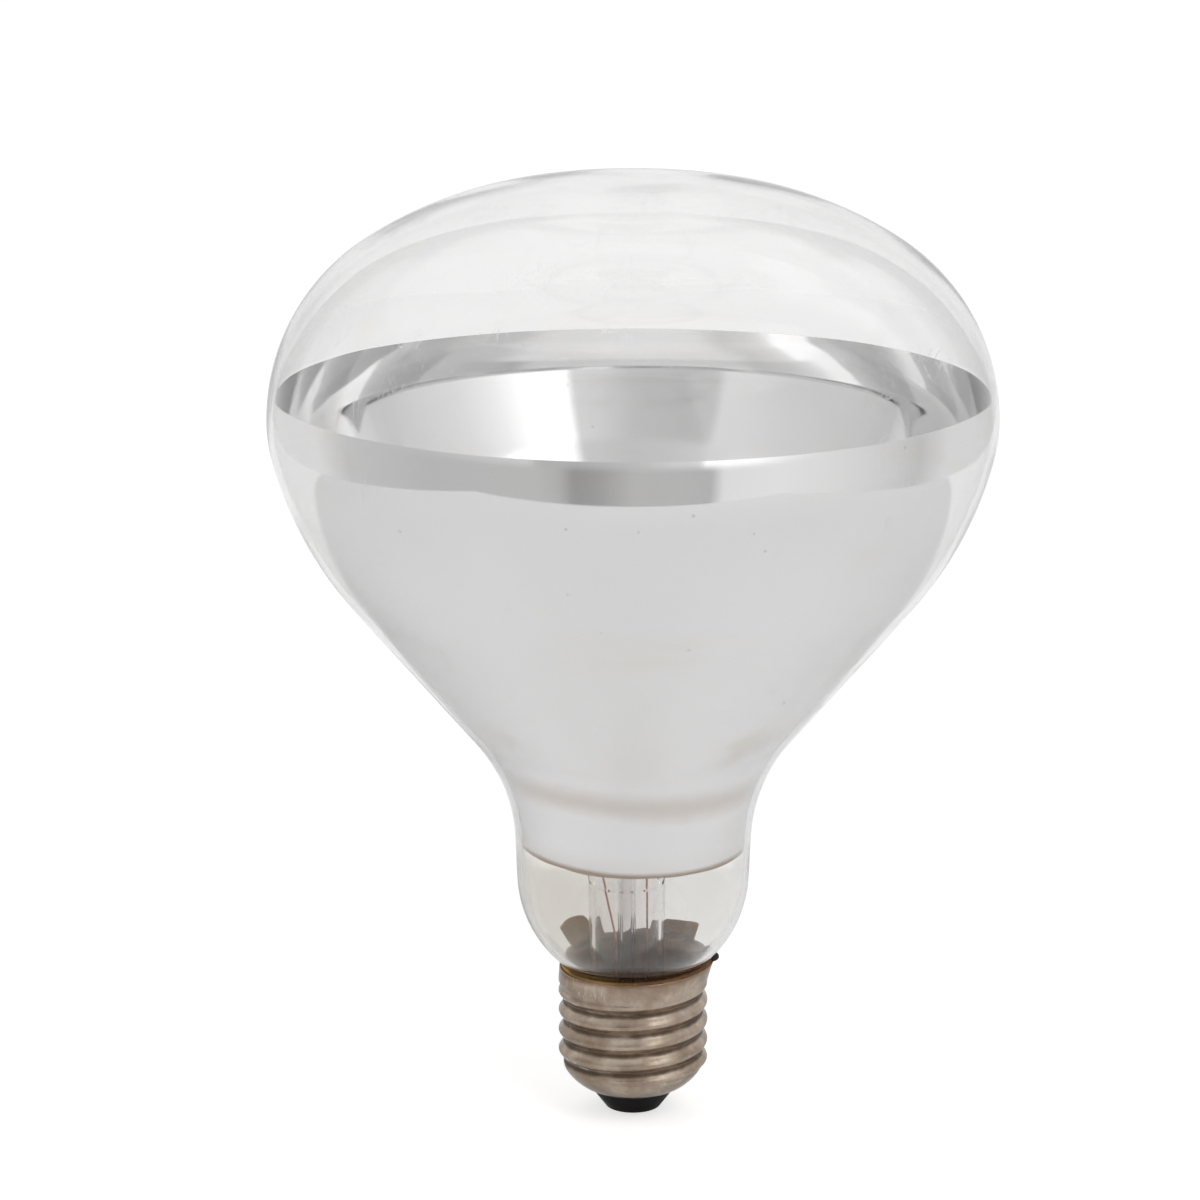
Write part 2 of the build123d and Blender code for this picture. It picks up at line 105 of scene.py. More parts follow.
@dataclass
class NodeSheet:
    """Short calls that lay out the nodes of one tree."""

    tree: bpy.types.NodeTree

    def add(self, kind: str, **settings: object) -> bpy.types.Node:
        """Adds a node.

        Args:
            kind: Blender's name of the node type.
            **settings: attributes to set on the node.

        Returns:
            The new node.
        """
        node = self.tree.nodes.new(kind)
        for name, value in settings.items():
            setattr(node, name, value)
        return node

    def feed(self, socket: Socket, value: Feed) -> None:
        """Links a socket to an input, or sets the input's own value.

        Args:
            socket: the input.
            value: an output socket, a number or a colour.
        """
        if isinstance(value, bpy.types.NodeSocket):
            self.tree.links.new(value, socket)
        elif isinstance(value, tuple) and len(socket.default_value) == 4:
            socket.default_value = (*value, 1.0)
        else:
            socket.default_value = value

    def math(self, operation: str, *values: Feed, clamp: bool = False) -> Socket:
        """Adds a Math node.

        Args:
            operation: the node's operation.
            *values: its inputs in order.
            clamp: keeps the result between 0 and 1.

        Returns:
            The result's socket.
        """
        node = self.add("ShaderNodeMath", operation=operation, use_clamp=clamp)
        for socket, value in zip(node.inputs, values):
            self.feed(socket, value)
        return node.outputs[0]

    def times(self, first: Feed, second: Feed) -> Socket:
        """Product of two numbers."""
        return self.math("MULTIPLY", first, second)

    def plus(self, first: Feed, second: Feed) -> Socket:
        """Sum of two numbers."""
        return self.math("ADD", first, second)

    def less(self, first: Feed, second: Feed) -> Socket:
        """First number less the second."""
        return self.math("SUBTRACT", first, second)

    def fade(self, value: Feed, low: Feed, high: Feed, to_low: Feed = 0.0, to_high: Feed = 1.0) -> Socket:
        """Maps a value smoothly from one range to another.

        Args:
            value: the number to map.
            low: where the ramp starts.
            high: where the ramp ends.
            to_low: result at and before the start.
            to_high: result at and after the end.

        Returns:
            The result's socket.
        """
        node = self.add("ShaderNodeMapRange", interpolation_type="SMOOTHSTEP")
        names = ("Value", "From Min", "From Max", "To Min", "To Max")
        for name, part in zip(names, (value, low, high, to_low, to_high)):
            self.feed(node.inputs[name], part)
        return node.outputs["Result"]

    def blend(self, factor: Feed, first: Feed, second: Feed) -> Socket:
        """Mixes two colours.

        Args:
            factor: share of the second colour.
            first: colour at 0.
            second: colour at 1.

        Returns:
            The mixed colour's socket.
        """
        node = self.add("ShaderNodeMix", data_type="RGBA")
        self.feed(node.inputs[0], factor)
        self.feed(node.inputs[6], first)
        self.feed(node.inputs[7], second)
        return node.outputs[2]

    def between(self, factor: Feed, first: Feed, second: Feed) -> Socket:
        """Mixes two numbers.

        Args:
            factor: share of the second number.
            first: number at 0.
            second: number at 1.

        Returns:
            The mixed number's socket.
        """
        node = self.add("ShaderNodeMix", data_type="FLOAT")
        self.feed(node.inputs[0], factor)
        self.feed(node.inputs[2], first)
        self.feed(node.inputs[3], second)
        return node.outputs[0]

    def place(self) -> Socket:
        """Where the point lies in the lamp's own frame, in metres."""
        return self.add("ShaderNodeTexCoord").outputs["Object"]

    def axes(self) -> tuple[Socket, ...]:
        """The point's place along X, Y and Z."""
        parts = self.add("ShaderNodeSeparateXYZ")
        self.feed(parts.inputs[0], self.place())
        return tuple(parts.outputs)

    def off_axis(self) -> Socket:
        """The point's distance from the lamp's axis."""
        across, along, _up = self.axes()
        squares = self.plus(self.math("POWER", across, 2.0), self.math("POWER", along, 2.0))
        return self.math("SQRT", squares)

    def stretched(self, scale: Sequence[float]) -> Socket:
        """The point's place scaled along each axis, for streaks.

        Args:
            scale: factor along X, Y and Z.

        Returns:
            The scaled place's socket.
        """
        node = self.add("ShaderNodeMapping")
        self.feed(node.inputs["Vector"], self.place())
        node.inputs["Scale"].default_value = tuple(scale)
        return node.outputs[0]

    def cloud(self, scale: Feed, detail: float = 3.0, roughness: float = 0.5, where: Feed = 0.0) -> Socket:
        """Noise between 0 and 1.

        Args:
            scale: features to the metre.
            detail: octaves.
            roughness: weight of the finer octaves.
            where: coordinates, or 0 for the point's own place.

        Returns:
            The noise value's socket.
        """
        node = self.add("ShaderNodeTexNoise")
        self.feed(node.inputs["Vector"], where if isinstance(where, bpy.types.NodeSocket) else self.place())
        self.feed(node.inputs["Scale"], scale)
        node.inputs["Detail"].default_value = detail
        node.inputs["Roughness"].default_value = roughness
        return node.outputs[0]

    def waver(self, scale: Feed, detail: float, reach: Feed) -> Socket:
        """Noise about zero.

        Args:
            scale: features to the metre.
            detail: octaves.
            reach: distance from the lowest to the highest value.

        Returns:
            The noise's socket.
        """
        return self.times(self.less(self.cloud(scale, detail=detail), 0.5), reach)

    def bump(self, height: Feed, strength: float, distance: float) -> Socket:
        """Normal from a height.

        Args:
            height: height between 0 and 1.
            strength: share of the effect.
            distance: height of 1 in metres.

        Returns:
            The normal's socket.
        """
        node = self.add("ShaderNodeBump")
        node.inputs["Strength"].default_value = strength
        node.inputs["Distance"].default_value = distance
        self.feed(node.inputs["Height"], height)
        return node.outputs["Normal"]

    def ray(self, *kinds: RayKind) -> Socket:
        """1 for a ray of any of the given kinds.

        Args:
            *kinds: kinds of ray.

        Returns:
            The mask's socket.
        """
        path = self.add("ShaderNodeLightPath")
        mask: Feed = path.outputs[kinds[0].value]
        for kind in kinds[1:]:
            mask = self.math("MAXIMUM", mask, path.outputs[kind.value])
        return mask


@dataclass
class Effect:
    """A shared shader effect: a node group with named inputs and one named output."""

    name: str
    inputs: dict[str, float]
    output: str
    draw: Callable[[NodeSheet, dict[str, Socket]], Socket]

    def group(self) -> bpy.types.NodeTree:
        """The effect's node group, made on first use."""
        made = bpy.data.node_groups.get(self.name)
        return made if made else self.build()

    def build(self) -> bpy.types.NodeTree:
        """Builds the node group.

        Returns:
            The new group.
        """
        tree = bpy.data.node_groups.new(self.name, "ShaderNodeTree")
        for name, value in self.inputs.items():
            socket = tree.interface.new_socket(name, in_out="INPUT", socket_type="NodeSocketFloat")
            socket.default_value = value
        tree.interface.new_socket(self.output, in_out="OUTPUT", socket_type="NodeSocketFloat")
        sheet = NodeSheet(tree)
        entry = sheet.add("NodeGroupInput")
        result = self.draw(sheet, {name: entry.outputs[name] for name in self.inputs})
        sheet.feed(sheet.add("NodeGroupOutput").inputs[self.output], result)
        return tree

    def on(self, sheet: NodeSheet, **values: float) -> Socket:
        """Places the effect in a material.

        Args:
            sheet: the material's nodes.
            **values: inputs by name, with _ for a space.

        Returns:
            The effect's output socket.
        """
        node = sheet.add("ShaderNodeGroup", node_tree=self.group())
        for name, value in values.items():
            sheet.feed(node.inputs[name.replace("_", " ")], value)
        return node.outputs[self.output]


def draw_mottle(sheet: NodeSheet, inputs: dict[str, Socket]) -> Socket:
    """Slow tone changes between a low and a high value."""
    value = sheet.cloud(inputs["Scale"], detail=4.0, roughness=0.55)
    return sheet.fade(value, inputs["Start"], inputs["End"], inputs["Low"], inputs["High"])


def draw_specks(sheet: NodeSheet, inputs: dict[str, Socket]) -> Socket:
    """Small round specks, kept to patches.

    Args:
        sheet: the group's nodes.
        inputs: the group's inputs by name.

    Returns:
        The mask's socket.
    """
    cells = sheet.add("ShaderNodeTexVoronoi", feature="F1")
    sheet.feed(cells.inputs["Vector"], sheet.place())
    sheet.feed(cells.inputs["Scale"], inputs["Scale"])
    dot = sheet.fade(cells.outputs["Distance"], inputs["Core"], inputs["Edge"], 1.0, 0.0)
    spread = sheet.math("FRACT", sheet.times(cells.outputs["Color"], inputs["Spread"]))
    chosen = sheet.math("LESS_THAN", spread, inputs["Share"])
    return sheet.times(dot, chosen)


def draw_scratches(sheet: NodeSheet, inputs: dict[str, Socket]) -> Socket:
    """Thin broken lines that run in two directions.

    Args:
        sheet: the group's nodes.
        inputs: the group's inputs by name.

    Returns:
        The mask's socket.
    """
    lines: list[Socket] = []
    for angle, stretch, patch_scale in SCRATCH_RUNS:
        turn = sheet.add("ShaderNodeMapping")
        sheet.feed(turn.inputs["Vector"], sheet.place())
        turn.inputs["Rotation"].default_value = (angle, SCRATCH_TILT * angle, angle)
        turn.inputs["Scale"].default_value = (stretch, stretch, 1.0)
        grain = sheet.cloud(inputs["Scale"], detail=1.0, where=turn.outputs[0])
        line = sheet.fade(sheet.math("ABSOLUTE", sheet.less(grain, 0.5)), 0.0, inputs["Width"], 1.0, 0.0)
        patch = sheet.fade(sheet.cloud(patch_scale, detail=1.0), inputs["Patch Start"], inputs["Patch End"])
        lines.append(sheet.times(line, patch))
    return sheet.math("MULTIPLY", sheet.math("MAXIMUM", *lines), inputs["Amount"], clamp=True)


def draw_height_band(sheet: NodeSheet, inputs: dict[str, Socket]) -> Socket:
    """Soft band round the axis at a height, leaning and wavering a little.

    Args:
        sheet: the group's nodes.
        inputs: the group's inputs by name.

    Returns:
        The mask's socket.
    """
    across, along, up = sheet.axes()
    lean = sheet.plus(sheet.times(across, inputs["Lean X"]), sheet.times(along, inputs["Lean Y"]))
    level = sheet.plus(sheet.less(up, lean), sheet.waver(inputs["Waver Scale"], 3.0, inputs["Waver"]))
    off = sheet.math("ABSOLUTE", sheet.less(level, inputs["Height"]))
    return sheet.fade(off, 0.0, inputs["Half Width"], 1.0, 0.0)


def draw_valley(sheet: NodeSheet, inputs: dict[str, Socket]) -> Socket:
    """Dirt and painted shade that gather where the surface comes near the axis, as in the thread's valleys.
    """
    distance = sheet.plus(sheet.off_axis(), sheet.waver(inputs["Waver Scale"], 4.0, inputs["Waver"]))
    return sheet.fade(distance, inputs["Root"], inputs["Crest"], 1.0, 0.0)


def draw_edge_wear(sheet: NodeSheet, inputs: dict[str, Socket]) -> Socket:
    """Rubbed convex edges, broken up by noise.

    Args:
        sheet: the group's nodes.
        inputs: the group's inputs by name.

    Returns:
        The mask's socket.
    """
    sharp = sheet.add("ShaderNodeNewGeometry").outputs["Pointiness"]
    sharp = sheet.plus(sharp, sheet.waver(inputs["Scale"], 4.0, inputs["Break"]))
    worn = sheet.fade(sharp, inputs["Start"], inputs["End"])
    return sheet.math("MULTIPLY", worn, inputs["Amount"], clamp=True)


MOTTLE = Effect(
    "slow_mottle",
    {"Scale": 40.0, "Low": 0.0, "High": 1.0, "Start": 0.32, "End": 0.68},
    "Value",
    draw_mottle,
)
SPECKS = Effect(
    "dust_specks",
    {"Scale": 300.0, "Share": 0.2, "Core": 0.06, "Edge": 0.16, "Spread": 7.3},
    "Mask",
    draw_specks,
)
SCRATCHES = Effect(
    "fine_scratches",
    {"Scale": 30.0, "Amount": 1.0, "Width": 0.012, "Patch Start": 0.56, "Patch End": 0.66},
    "Mask",
    draw_scratches,
)
HEIGHT_BAND = Effect(
    "height_band",
    {"Height": 0.0, "Half Width": 4.0 * MM, "Lean X": 0.0, "Lean Y": 0.0, "Waver": 0.0, "Waver Scale": 55.0},
    "Mask",
    draw_height_band,
)
# Dirt and painted shade in the hollows that come near the axis.
VALLEY_DIRT_AND_SHADE = Effect(
    "valley_dirt_and_shade",
    {"Root": 12.2 * MM, "Crest": 13.0 * MM, "Waver": 0.4 * MM, "Waver Scale": 240.0},
    "Mask",
    draw_valley,
)
EDGE_WEAR = Effect(
    "edge_wear",
    {"Scale": 600.0, "Amount": 1.0, "Break": 0.10, "Start": 0.51, "End": 0.60},
    "Mask",
    draw_edge_wear,
)


# Finishes


@dataclass(frozen=True)
class Finish:
    """A surface finish that becomes one material."""

    name: str = "finish"

    def material(self) -> bpy.types.Material:
        """The finish as a material, made on first use.

        Returns:
            The material.
        """
        full_name = f"{self.name}_finish"
        made = bpy.data.materials.get(full_name)
        if made:
            return made
        material = bpy.data.materials.new(full_name)
        material.use_nodes = True
        material.node_tree.nodes.clear()
        sheet = NodeSheet(material.node_tree)
        surface = self.shade(sheet)
        sheet.feed(sheet.add("ShaderNodeOutputMaterial").inputs["Surface"], surface)
        return material

    def shade(self, sheet: NodeSheet) -> Socket:
        """Lays out the finish's nodes and gives the shader's socket."""
        raise NotImplementedError

    def principled(self, sheet: NodeSheet, **inputs: Feed) -> bpy.types.Node:
        """Adds the Principled BSDF.

        Args:
            sheet: the material's nodes.
            **inputs: input values by name, with _ for a space.

        Returns:
            The shader node.
        """
        node = sheet.add("ShaderNodeBsdfPrincipled")
        for name, value in inputs.items():
            sheet.feed(node.inputs[name.replace("_", " ")], value)
        return node


@dataclass(frozen=True)
class ClearGlass(Finish):
    """Blown soda glass, a little grimy, that lets the studio's lamps through."""

    tint: Colour = (0.992, 0.990, 0.989)
    streak_tint: Colour = (0.978, 0.973, 0.945)
    neck_left: Colour = (0.900, 0.880, 0.842)
    neck_right: Colour = (0.950, 0.945, 0.930)
    shadow_tint: Colour = (0.93, 0.93, 0.92)
    roughness: float = 0.0
    scratched_roughness: float = 0.25
    refraction: float = 1.5
    streak_stretch: tuple[float, float, float] = (18.0, 70.0, 90.0)
    streak_start: float = 0.60
    streak_end: float = 0.74
    wave_scale: float = 38.0
    wave_strength: float = 0.12
    left_edge: float = -12.0 * MM
    right_edge: float = 8.0 * MM
    shade_full: float = 46.0 * MM
    shade_end: float = 54.0 * MM
    wave_height: float = 1.2 * MM

    def shade(self, sheet: NodeSheet) -> Socket:
        """Clear glass with faint streaks, fine scratches, a slow waviness and painted shade on the left of
        the neck.

        Args:
            sheet: the material's nodes.

        Returns:
            The shader's socket.
        """
        streaks = sheet.cloud(1.0, detail=3.0, where=sheet.stretched(self.streak_stretch))
        streak = sheet.fade(streaks, self.streak_start, self.streak_end)
        marks = SCRATCHES.on(sheet, Scale=22.0, Amount=0.8)
        colour = sheet.blend(streak, self.tint, self.streak_tint)
        across, _along, up = sheet.axes()
        # Painted shade: below the neck the glass is tinted darker and warmer on the left than on the right.
        side = sheet.fade(across, self.left_edge, self.right_edge)
        shaded_side = sheet.blend(side, self.neck_left, self.neck_right)
        low = sheet.fade(up, self.shade_full, self.shade_end, 1.0, 0.0)
        colour = sheet.blend(low, colour, shaded_side)
        rough = sheet.between(marks, self.roughness, self.scratched_roughness)
        waves = sheet.cloud(self.wave_scale, detail=1.0)
        glass = self.principled(sheet, Base_Color=colour, Roughness=rough, IOR=self.refraction)
        glass.inputs["Transmission Weight"].default_value = 1.0
        sheet.feed(glass.inputs["Normal"], sheet.bump(waves, self.wave_strength, self.wave_height))
        clear = sheet.add("ShaderNodeBsdfTransparent")
        sheet.feed(clear.inputs["Color"], self.shadow_tint)
        mix = sheet.add("ShaderNodeMixShader")
        sheet.feed(mix.inputs[0], sheet.ray(RayKind.SHADOW))
        sheet.feed(mix.inputs[1], glass.outputs[0])
        sheet.feed(mix.inputs[2], clear.outputs[0])
        return mix.outputs[0]


@dataclass(frozen=True)
class MirrorFilm(Finish):
    """Aluminium film on the glass, with brownish bands of painted reflection low on the cone above the neck.
    """

    silver: Colour = (0.850, 0.848, 0.850)
    dulled: Colour = (0.66, 0.66, 0.65)
    speck: Colour = (0.42, 0.40, 0.37)
    reflection_brown: Colour = (0.60, 0.53, 0.46)
    edge_brown: Colour = (0.30, 0.20, 0.12)
    reflection_band_height: float = 64.0 * MM
    reflection_smear_height: float = 74.5 * MM
    edge_height: float = 50.9 * MM
    edge_lean_x: float = -0.0262
    edge_lean_y: float = 0.0963
    speck_share: float = 0.35
    reflection_band_share: float = 0.62
    reflection_smear_share: float = 0.55
    edge_share: float = 0.85
    wave_stretch: tuple[float, float, float] = (1.0, 1.0, 0.45)
    wave_scale: float = 30.0
    wave_strength: float = 0.10
    wave_height: float = 1.2 * MM
    roughness: float = 0.035
    roughness_spread: float = 0.03

    def shade(self, sheet: NodeSheet) -> Socket:
        """Film with mottle, specks, two brownish bands of painted reflection and the brown line of its lower
        edge.

        Args:
            sheet: the material's nodes.

        Returns:
            The shader's socket.
        """
        tone = MOTTLE.on(sheet, Scale=24.0, Low=0.0, High=0.10)
        colour = sheet.blend(tone, self.silver, self.dulled)
        specks = SPECKS.on(sheet, Scale=420.0, Share=0.07)
        colour = sheet.blend(sheet.times(specks, self.speck_share), colour, self.speck)
        # Painted reflection: a brownish band, leaning and wavering, low on the cone.
        band = HEIGHT_BAND.on(
            sheet, Height=self.reflection_band_height, Half_Width=4.0 * MM, Lean_X=-0.05, Lean_Y=0.05, Waver=4.0 * MM
        )
        colour = sheet.blend(sheet.times(band, self.reflection_band_share), colour, self.reflection_brown)
        # Painted reflection: a brownish smear in patches a little higher up the cone.
        reflection_smear = HEIGHT_BAND.on(
            sheet, Height=self.reflection_smear_height, Half_Width=4.5 * MM, Lean_X=0.02, Lean_Y=0.03, Waver=10.0 * MM
        )
        patch = sheet.fade(sheet.cloud(36.0, detail=3.0), 0.46, 0.62)
        reflection_smear = sheet.times(reflection_smear, patch)
        colour = sheet.blend(sheet.times(reflection_smear, self.reflection_smear_share), colour, self.reflection_brown)
        edge = HEIGHT_BAND.on(
            sheet,
            Height=self.edge_height,
            Half_Width=1.0 * MM,
            Lean_X=self.edge_lean_x,
            Lean_Y=self.edge_lean_y,
            Waver=0.8 * MM,
        )
        colour = sheet.blend(sheet.times(edge, self.edge_share), colour, self.edge_brown)
        rough = MOTTLE.on(sheet, Scale=70.0, Low=self.roughness, High=self.roughness + self.roughness_spread)
        film = self.principled(sheet, Base_Color=colour, Roughness=rough)
        film.inputs["Metallic"].default_value = 1.0
        waves = sheet.cloud(self.wave_scale, detail=2.0, where=sheet.stretched(self.wave_stretch))
        sheet.feed(film.inputs["Normal"], sheet.bump(waves, self.wave_strength, self.wave_height))
        return film.outputs[0]


@dataclass(frozen=True)
class CapMetal(Finish):
    """Nickelled brass, tarnished warm, with dark dirt and painted shade in the thread's valleys and painted
    shade towards its outline.
    """

    plating: Colour = (0.55, 0.455, 0.37)
    tarnish: Colour = (0.25, 0.18, 0.125)
    film: Colour = (0.30, 0.24, 0.19)
    rubbed: Colour = (0.80, 0.75, 0.67)
    dirt_and_shade: Colour = (0.075, 0.043, 0.022)
    spot: Colour = (0.12, 0.075, 0.045)
    rust: Colour = (0.20, 0.10, 0.045)
    scratched: Colour = (0.82, 0.78, 0.72)
    root: float = 12.20 * MM
    crest: float = 12.50 * MM
    foot_clean: float = 8.4 * MM
    foot_dirty: float = 9.4 * MM
    rust_height: float = 27.2 * MM
    rust_lean: float = 0.042
    dirt_and_shade_share: float = 0.92
    spot_share: float = 0.75
    rust_share: float = 0.8
    grazing_start: float = 0.45
    grazing_end: float = 0.95
    edge_shade_share: float = 0.65
    dirt_roughness: float = 0.60
    dirt_dulling: float = 0.55
    spot_relief: float = 0.6
    grain_scale: float = 1400.0
    grain_strength: float = 0.35
    grain_height: float = 0.08 * MM

    def shade(self, sheet: NodeSheet) -> Socket:
        """Warm plating, worn on the crests and stained on the collar.

        Args:
            sheet: the material's nodes.

        Returns:
            The shader's socket.
        """
        colour = sheet.blend(MOTTLE.on(sheet, Scale=160.0, Low=0.0, High=0.85), self.plating, self.tarnish)
        colour = sheet.blend(MOTTLE.on(sheet, Scale=900.0, Low=0.0, High=0.35), colour, self.film)
        up = sheet.axes()[2]
        # Dirt and painted shade in the thread's valleys, darker where the surface comes near the axis.
        valley = VALLEY_DIRT_AND_SHADE.on(sheet, Root=self.root, Crest=self.crest, Waver=0.4 * MM)
        valley = sheet.times(valley, sheet.fade(up, self.foot_clean, self.foot_dirty))
        colour = sheet.blend(EDGE_WEAR.on(sheet, Scale=900.0, Amount=0.7), colour, self.rubbed)
        colour = sheet.blend(sheet.times(valley, self.dirt_and_shade_share), colour, self.dirt_and_shade)
        spots = SPECKS.on(sheet, Scale=400.0, Share=0.20)
        spots = sheet.times(spots, sheet.fade(sheet.cloud(130.0), 0.40, 0.55))
        colour = sheet.blend(sheet.times(spots, self.spot_share), colour, self.spot)
        band = HEIGHT_BAND.on(
            sheet, Height=self.rust_height, Half_Width=1.1 * MM, Lean_X=self.rust_lean, Waver=2.2 * MM
        )
        colour = sheet.blend(sheet.times(band, self.rust_share), colour, self.rust)
        # Painted shade: the plating darkens towards the cap's outline, where it turns away from the camera.
        grazing = sheet.add("ShaderNodeLayerWeight").outputs["Facing"]
        shaded = sheet.fade(grazing, self.grazing_start, self.grazing_end, 0.0, self.edge_shade_share)
        colour = sheet.blend(shaded, colour, self.dirt_and_shade)
        colour = sheet.blend(SCRATCHES.on(sheet, Scale=120.0, Amount=0.6), colour, self.scratched)
        rough = MOTTLE.on(sheet, Scale=300.0, Low=0.12, High=0.27)
        rough = sheet.between(valley, rough, self.dirt_roughness)
        metal = self.principled(sheet, Base_Color=colour, Roughness=rough)
        sheet.feed(metal.inputs["Metallic"], sheet.less(1.0, sheet.times(valley, self.dirt_dulling)))
        relief = sheet.plus(sheet.cloud(self.grain_scale, detail=4.0), sheet.times(spots, self.spot_relief))
        sheet.feed(metal.inputs["Normal"], sheet.bump(relief, self.grain_strength, self.grain_height))
        return metal.outputs[0]


@dataclass(frozen=True)
class BakedCement(Finish):
    """Basing cement baked from ochre to dark brown by the lamp's heat."""

    ochre: Colour = (0.60, 0.35, 0.12)
    brown: Colour = (0.26, 0.125, 0.050)
    char: Colour = (0.080, 0.036, 0.014)
    grain: Colour = (0.66, 0.45, 0.20)
    ochre_edge: float = -9.0 * MM
    brown_edge: float = 4.0 * MM
    rim_height: float = 27.6 * MM
    rim_lean: float = 0.042
    rim_share: float = 0.6
    char_waver: float = 3.0 * MM
    grain_share: float = 0.5
    grain_scale: float = 1800.0
    grain_strength: float = 0.7
    char_full: float = 20.5 * MM
    char_end: float = 25.0 * MM
    grain_height: float = 0.25 * MM

    def shade(self, sheet: NodeSheet) -> Socket:
        """Grainy cement, ochre on the left and darker on the right and at the rim.

        Args:
            sheet: the material's nodes.

        Returns:
            The shader's socket.
        """
        across, _along, up = sheet.axes()
        side = sheet.fade(across, self.ochre_edge, self.brown_edge)
        patch = MOTTLE.on(sheet, Scale=260.0, Low=-0.35, High=0.35)
        colour = sheet.blend(sheet.math("ADD", side, patch, clamp=True), self.ochre, self.brown)
        rim = HEIGHT_BAND.on(
            sheet, Height=self.rim_height, Half_Width=0.8 * MM, Lean_X=self.rim_lean, Waver=1.6 * MM
        )
        colour = sheet.blend(sheet.times(rim, self.rim_share), colour, self.char)
        # Darker towards the bottom, down between the glass and the cap.
        depth = sheet.plus(up, sheet.times(sheet.cloud(300.0), self.char_waver))
        colour = sheet.blend(sheet.fade(depth, self.char_full, self.char_end, 1.0, 0.0), colour, self.char)
        grains = SPECKS.on(sheet, Scale=1500.0, Share=0.35)
        colour = sheet.blend(sheet.times(grains, self.grain_share), colour, self.grain)
        rough = MOTTLE.on(sheet, Scale=700.0, Low=0.62, High=0.9)
        body = self.principled(sheet, Base_Color=colour, Roughness=rough)
        relief = sheet.cloud(self.grain_scale, detail=5.0)
        sheet.feed(body.inputs["Normal"], sheet.bump(relief, self.grain_strength, self.grain_height))
        return body.outputs[0]


@dataclass(frozen=True)
class BlackGlass(Finish):
    """Near-black moulded glass of the cap's foot, glossy, with dust and small chips."""

    body: Colour = (0.004, 0.004, 0.005)
    dust: Colour = (0.012, 0.011, 0.010)
    chip: Colour = (0.10, 0.09, 0.08)
    refraction: float = 1.52
    gloss: float = 0.05
    chip_share: float = 0.4
    chip_depth: float = 0.2 * MM

    def shade(self, sheet: NodeSheet) -> Socket:
        """Glossy dark glass with dull patches.

        Args:
            sheet: the material's nodes.

        Returns:
            The shader's socket.
        """
        colour = sheet.blend(MOTTLE.on(sheet, Scale=420.0, Low=0.0, High=0.35), self.body, self.dust)
        specks = SPECKS.on(sheet, Scale=900.0, Share=0.15)
        colour = sheet.blend(sheet.times(specks, self.chip_share), colour, self.chip)
        rough = MOTTLE.on(sheet, Scale=250.0, Low=0.30, High=0.50)
        glass = self.principled(sheet, Base_Color=colour, Roughness=rough, IOR=self.refraction)
        glass.inputs["Specular IOR Level"].default_value = self.gloss
        sheet.feed(glass.inputs["Normal"], sheet.bump(sheet.cloud(500.0, detail=3.0), 0.25, self.chip_depth))
        return glass.outputs[0]


@dataclass(frozen=True)
class DrawnWire(Finish):
    """Drawn wire with die lines along it and oxide in patches."""

    kind: WireKind = WireKind.NICKEL
    oxide_share: tuple[float, float, float] = (0.35, 0.32, 0.34)
    line_stretch: tuple[float, float, float] = (9000.0, 9000.0, 300.0)
    line_depth: float = 0.02 * MM

    def shade(self, sheet: NodeSheet) -> Socket:
        """Wire in the colour of its kind.

        Args:
            sheet: the material's nodes.

        Returns:
            The shader's socket.
        """
        base, roughness = self.kind.value
        oxide = MOTTLE.on(sheet, Scale=700.0, Low=0.0, High=0.55)
        dark = tuple(tone * share for tone, share in zip(base, self.oxide_share))
        colour = sheet.blend(oxide, base, dark)
        lines = sheet.cloud(1.0, detail=2.0, where=sheet.stretched(self.line_stretch))
        rough = sheet.between(lines, roughness - 0.08, roughness + 0.12)
        metal = self.principled(sheet, Base_Color=colour, Roughness=rough)
        metal.inputs["Metallic"].default_value = 1.0
        sheet.feed(metal.inputs["Normal"], sheet.bump(lines, 0.3, self.line_depth))
        return metal.outputs[0]


@dataclass(frozen=True)
class TungstenCoil(Finish):
    """Tungsten after burning: dark grey, with a fine crystal sparkle."""

    metal: Colour = (0.20, 0.195, 0.19)
    crystal: Colour = (0.42, 0.42, 0.43)
    grain_height: float = 0.02 * MM

    def shade(self, sheet: NodeSheet) -> Socket:
        """Dull grey metal with bright crystal faces.

        Args:
            sheet: the material's nodes.

        Returns:
            The shader's socket.
        """
        crystals = SPECKS.on(sheet, Scale=4200.0, Share=0.4)
        colour = sheet.blend(crystals, self.metal, self.crystal)
        rough = MOTTLE.on(sheet, Scale=3000.0, Low=0.34, High=0.6)
        metal = self.principled(sheet, Base_Color=colour, Roughness=rough)
        metal.inputs["Metallic"].default_value = 1.0
        relief = sheet.cloud(5000.0, detail=3.0)
        sheet.feed(metal.inputs["Normal"], sheet.bump(relief, 0.5, self.grain_height))
        return metal.outputs[0]


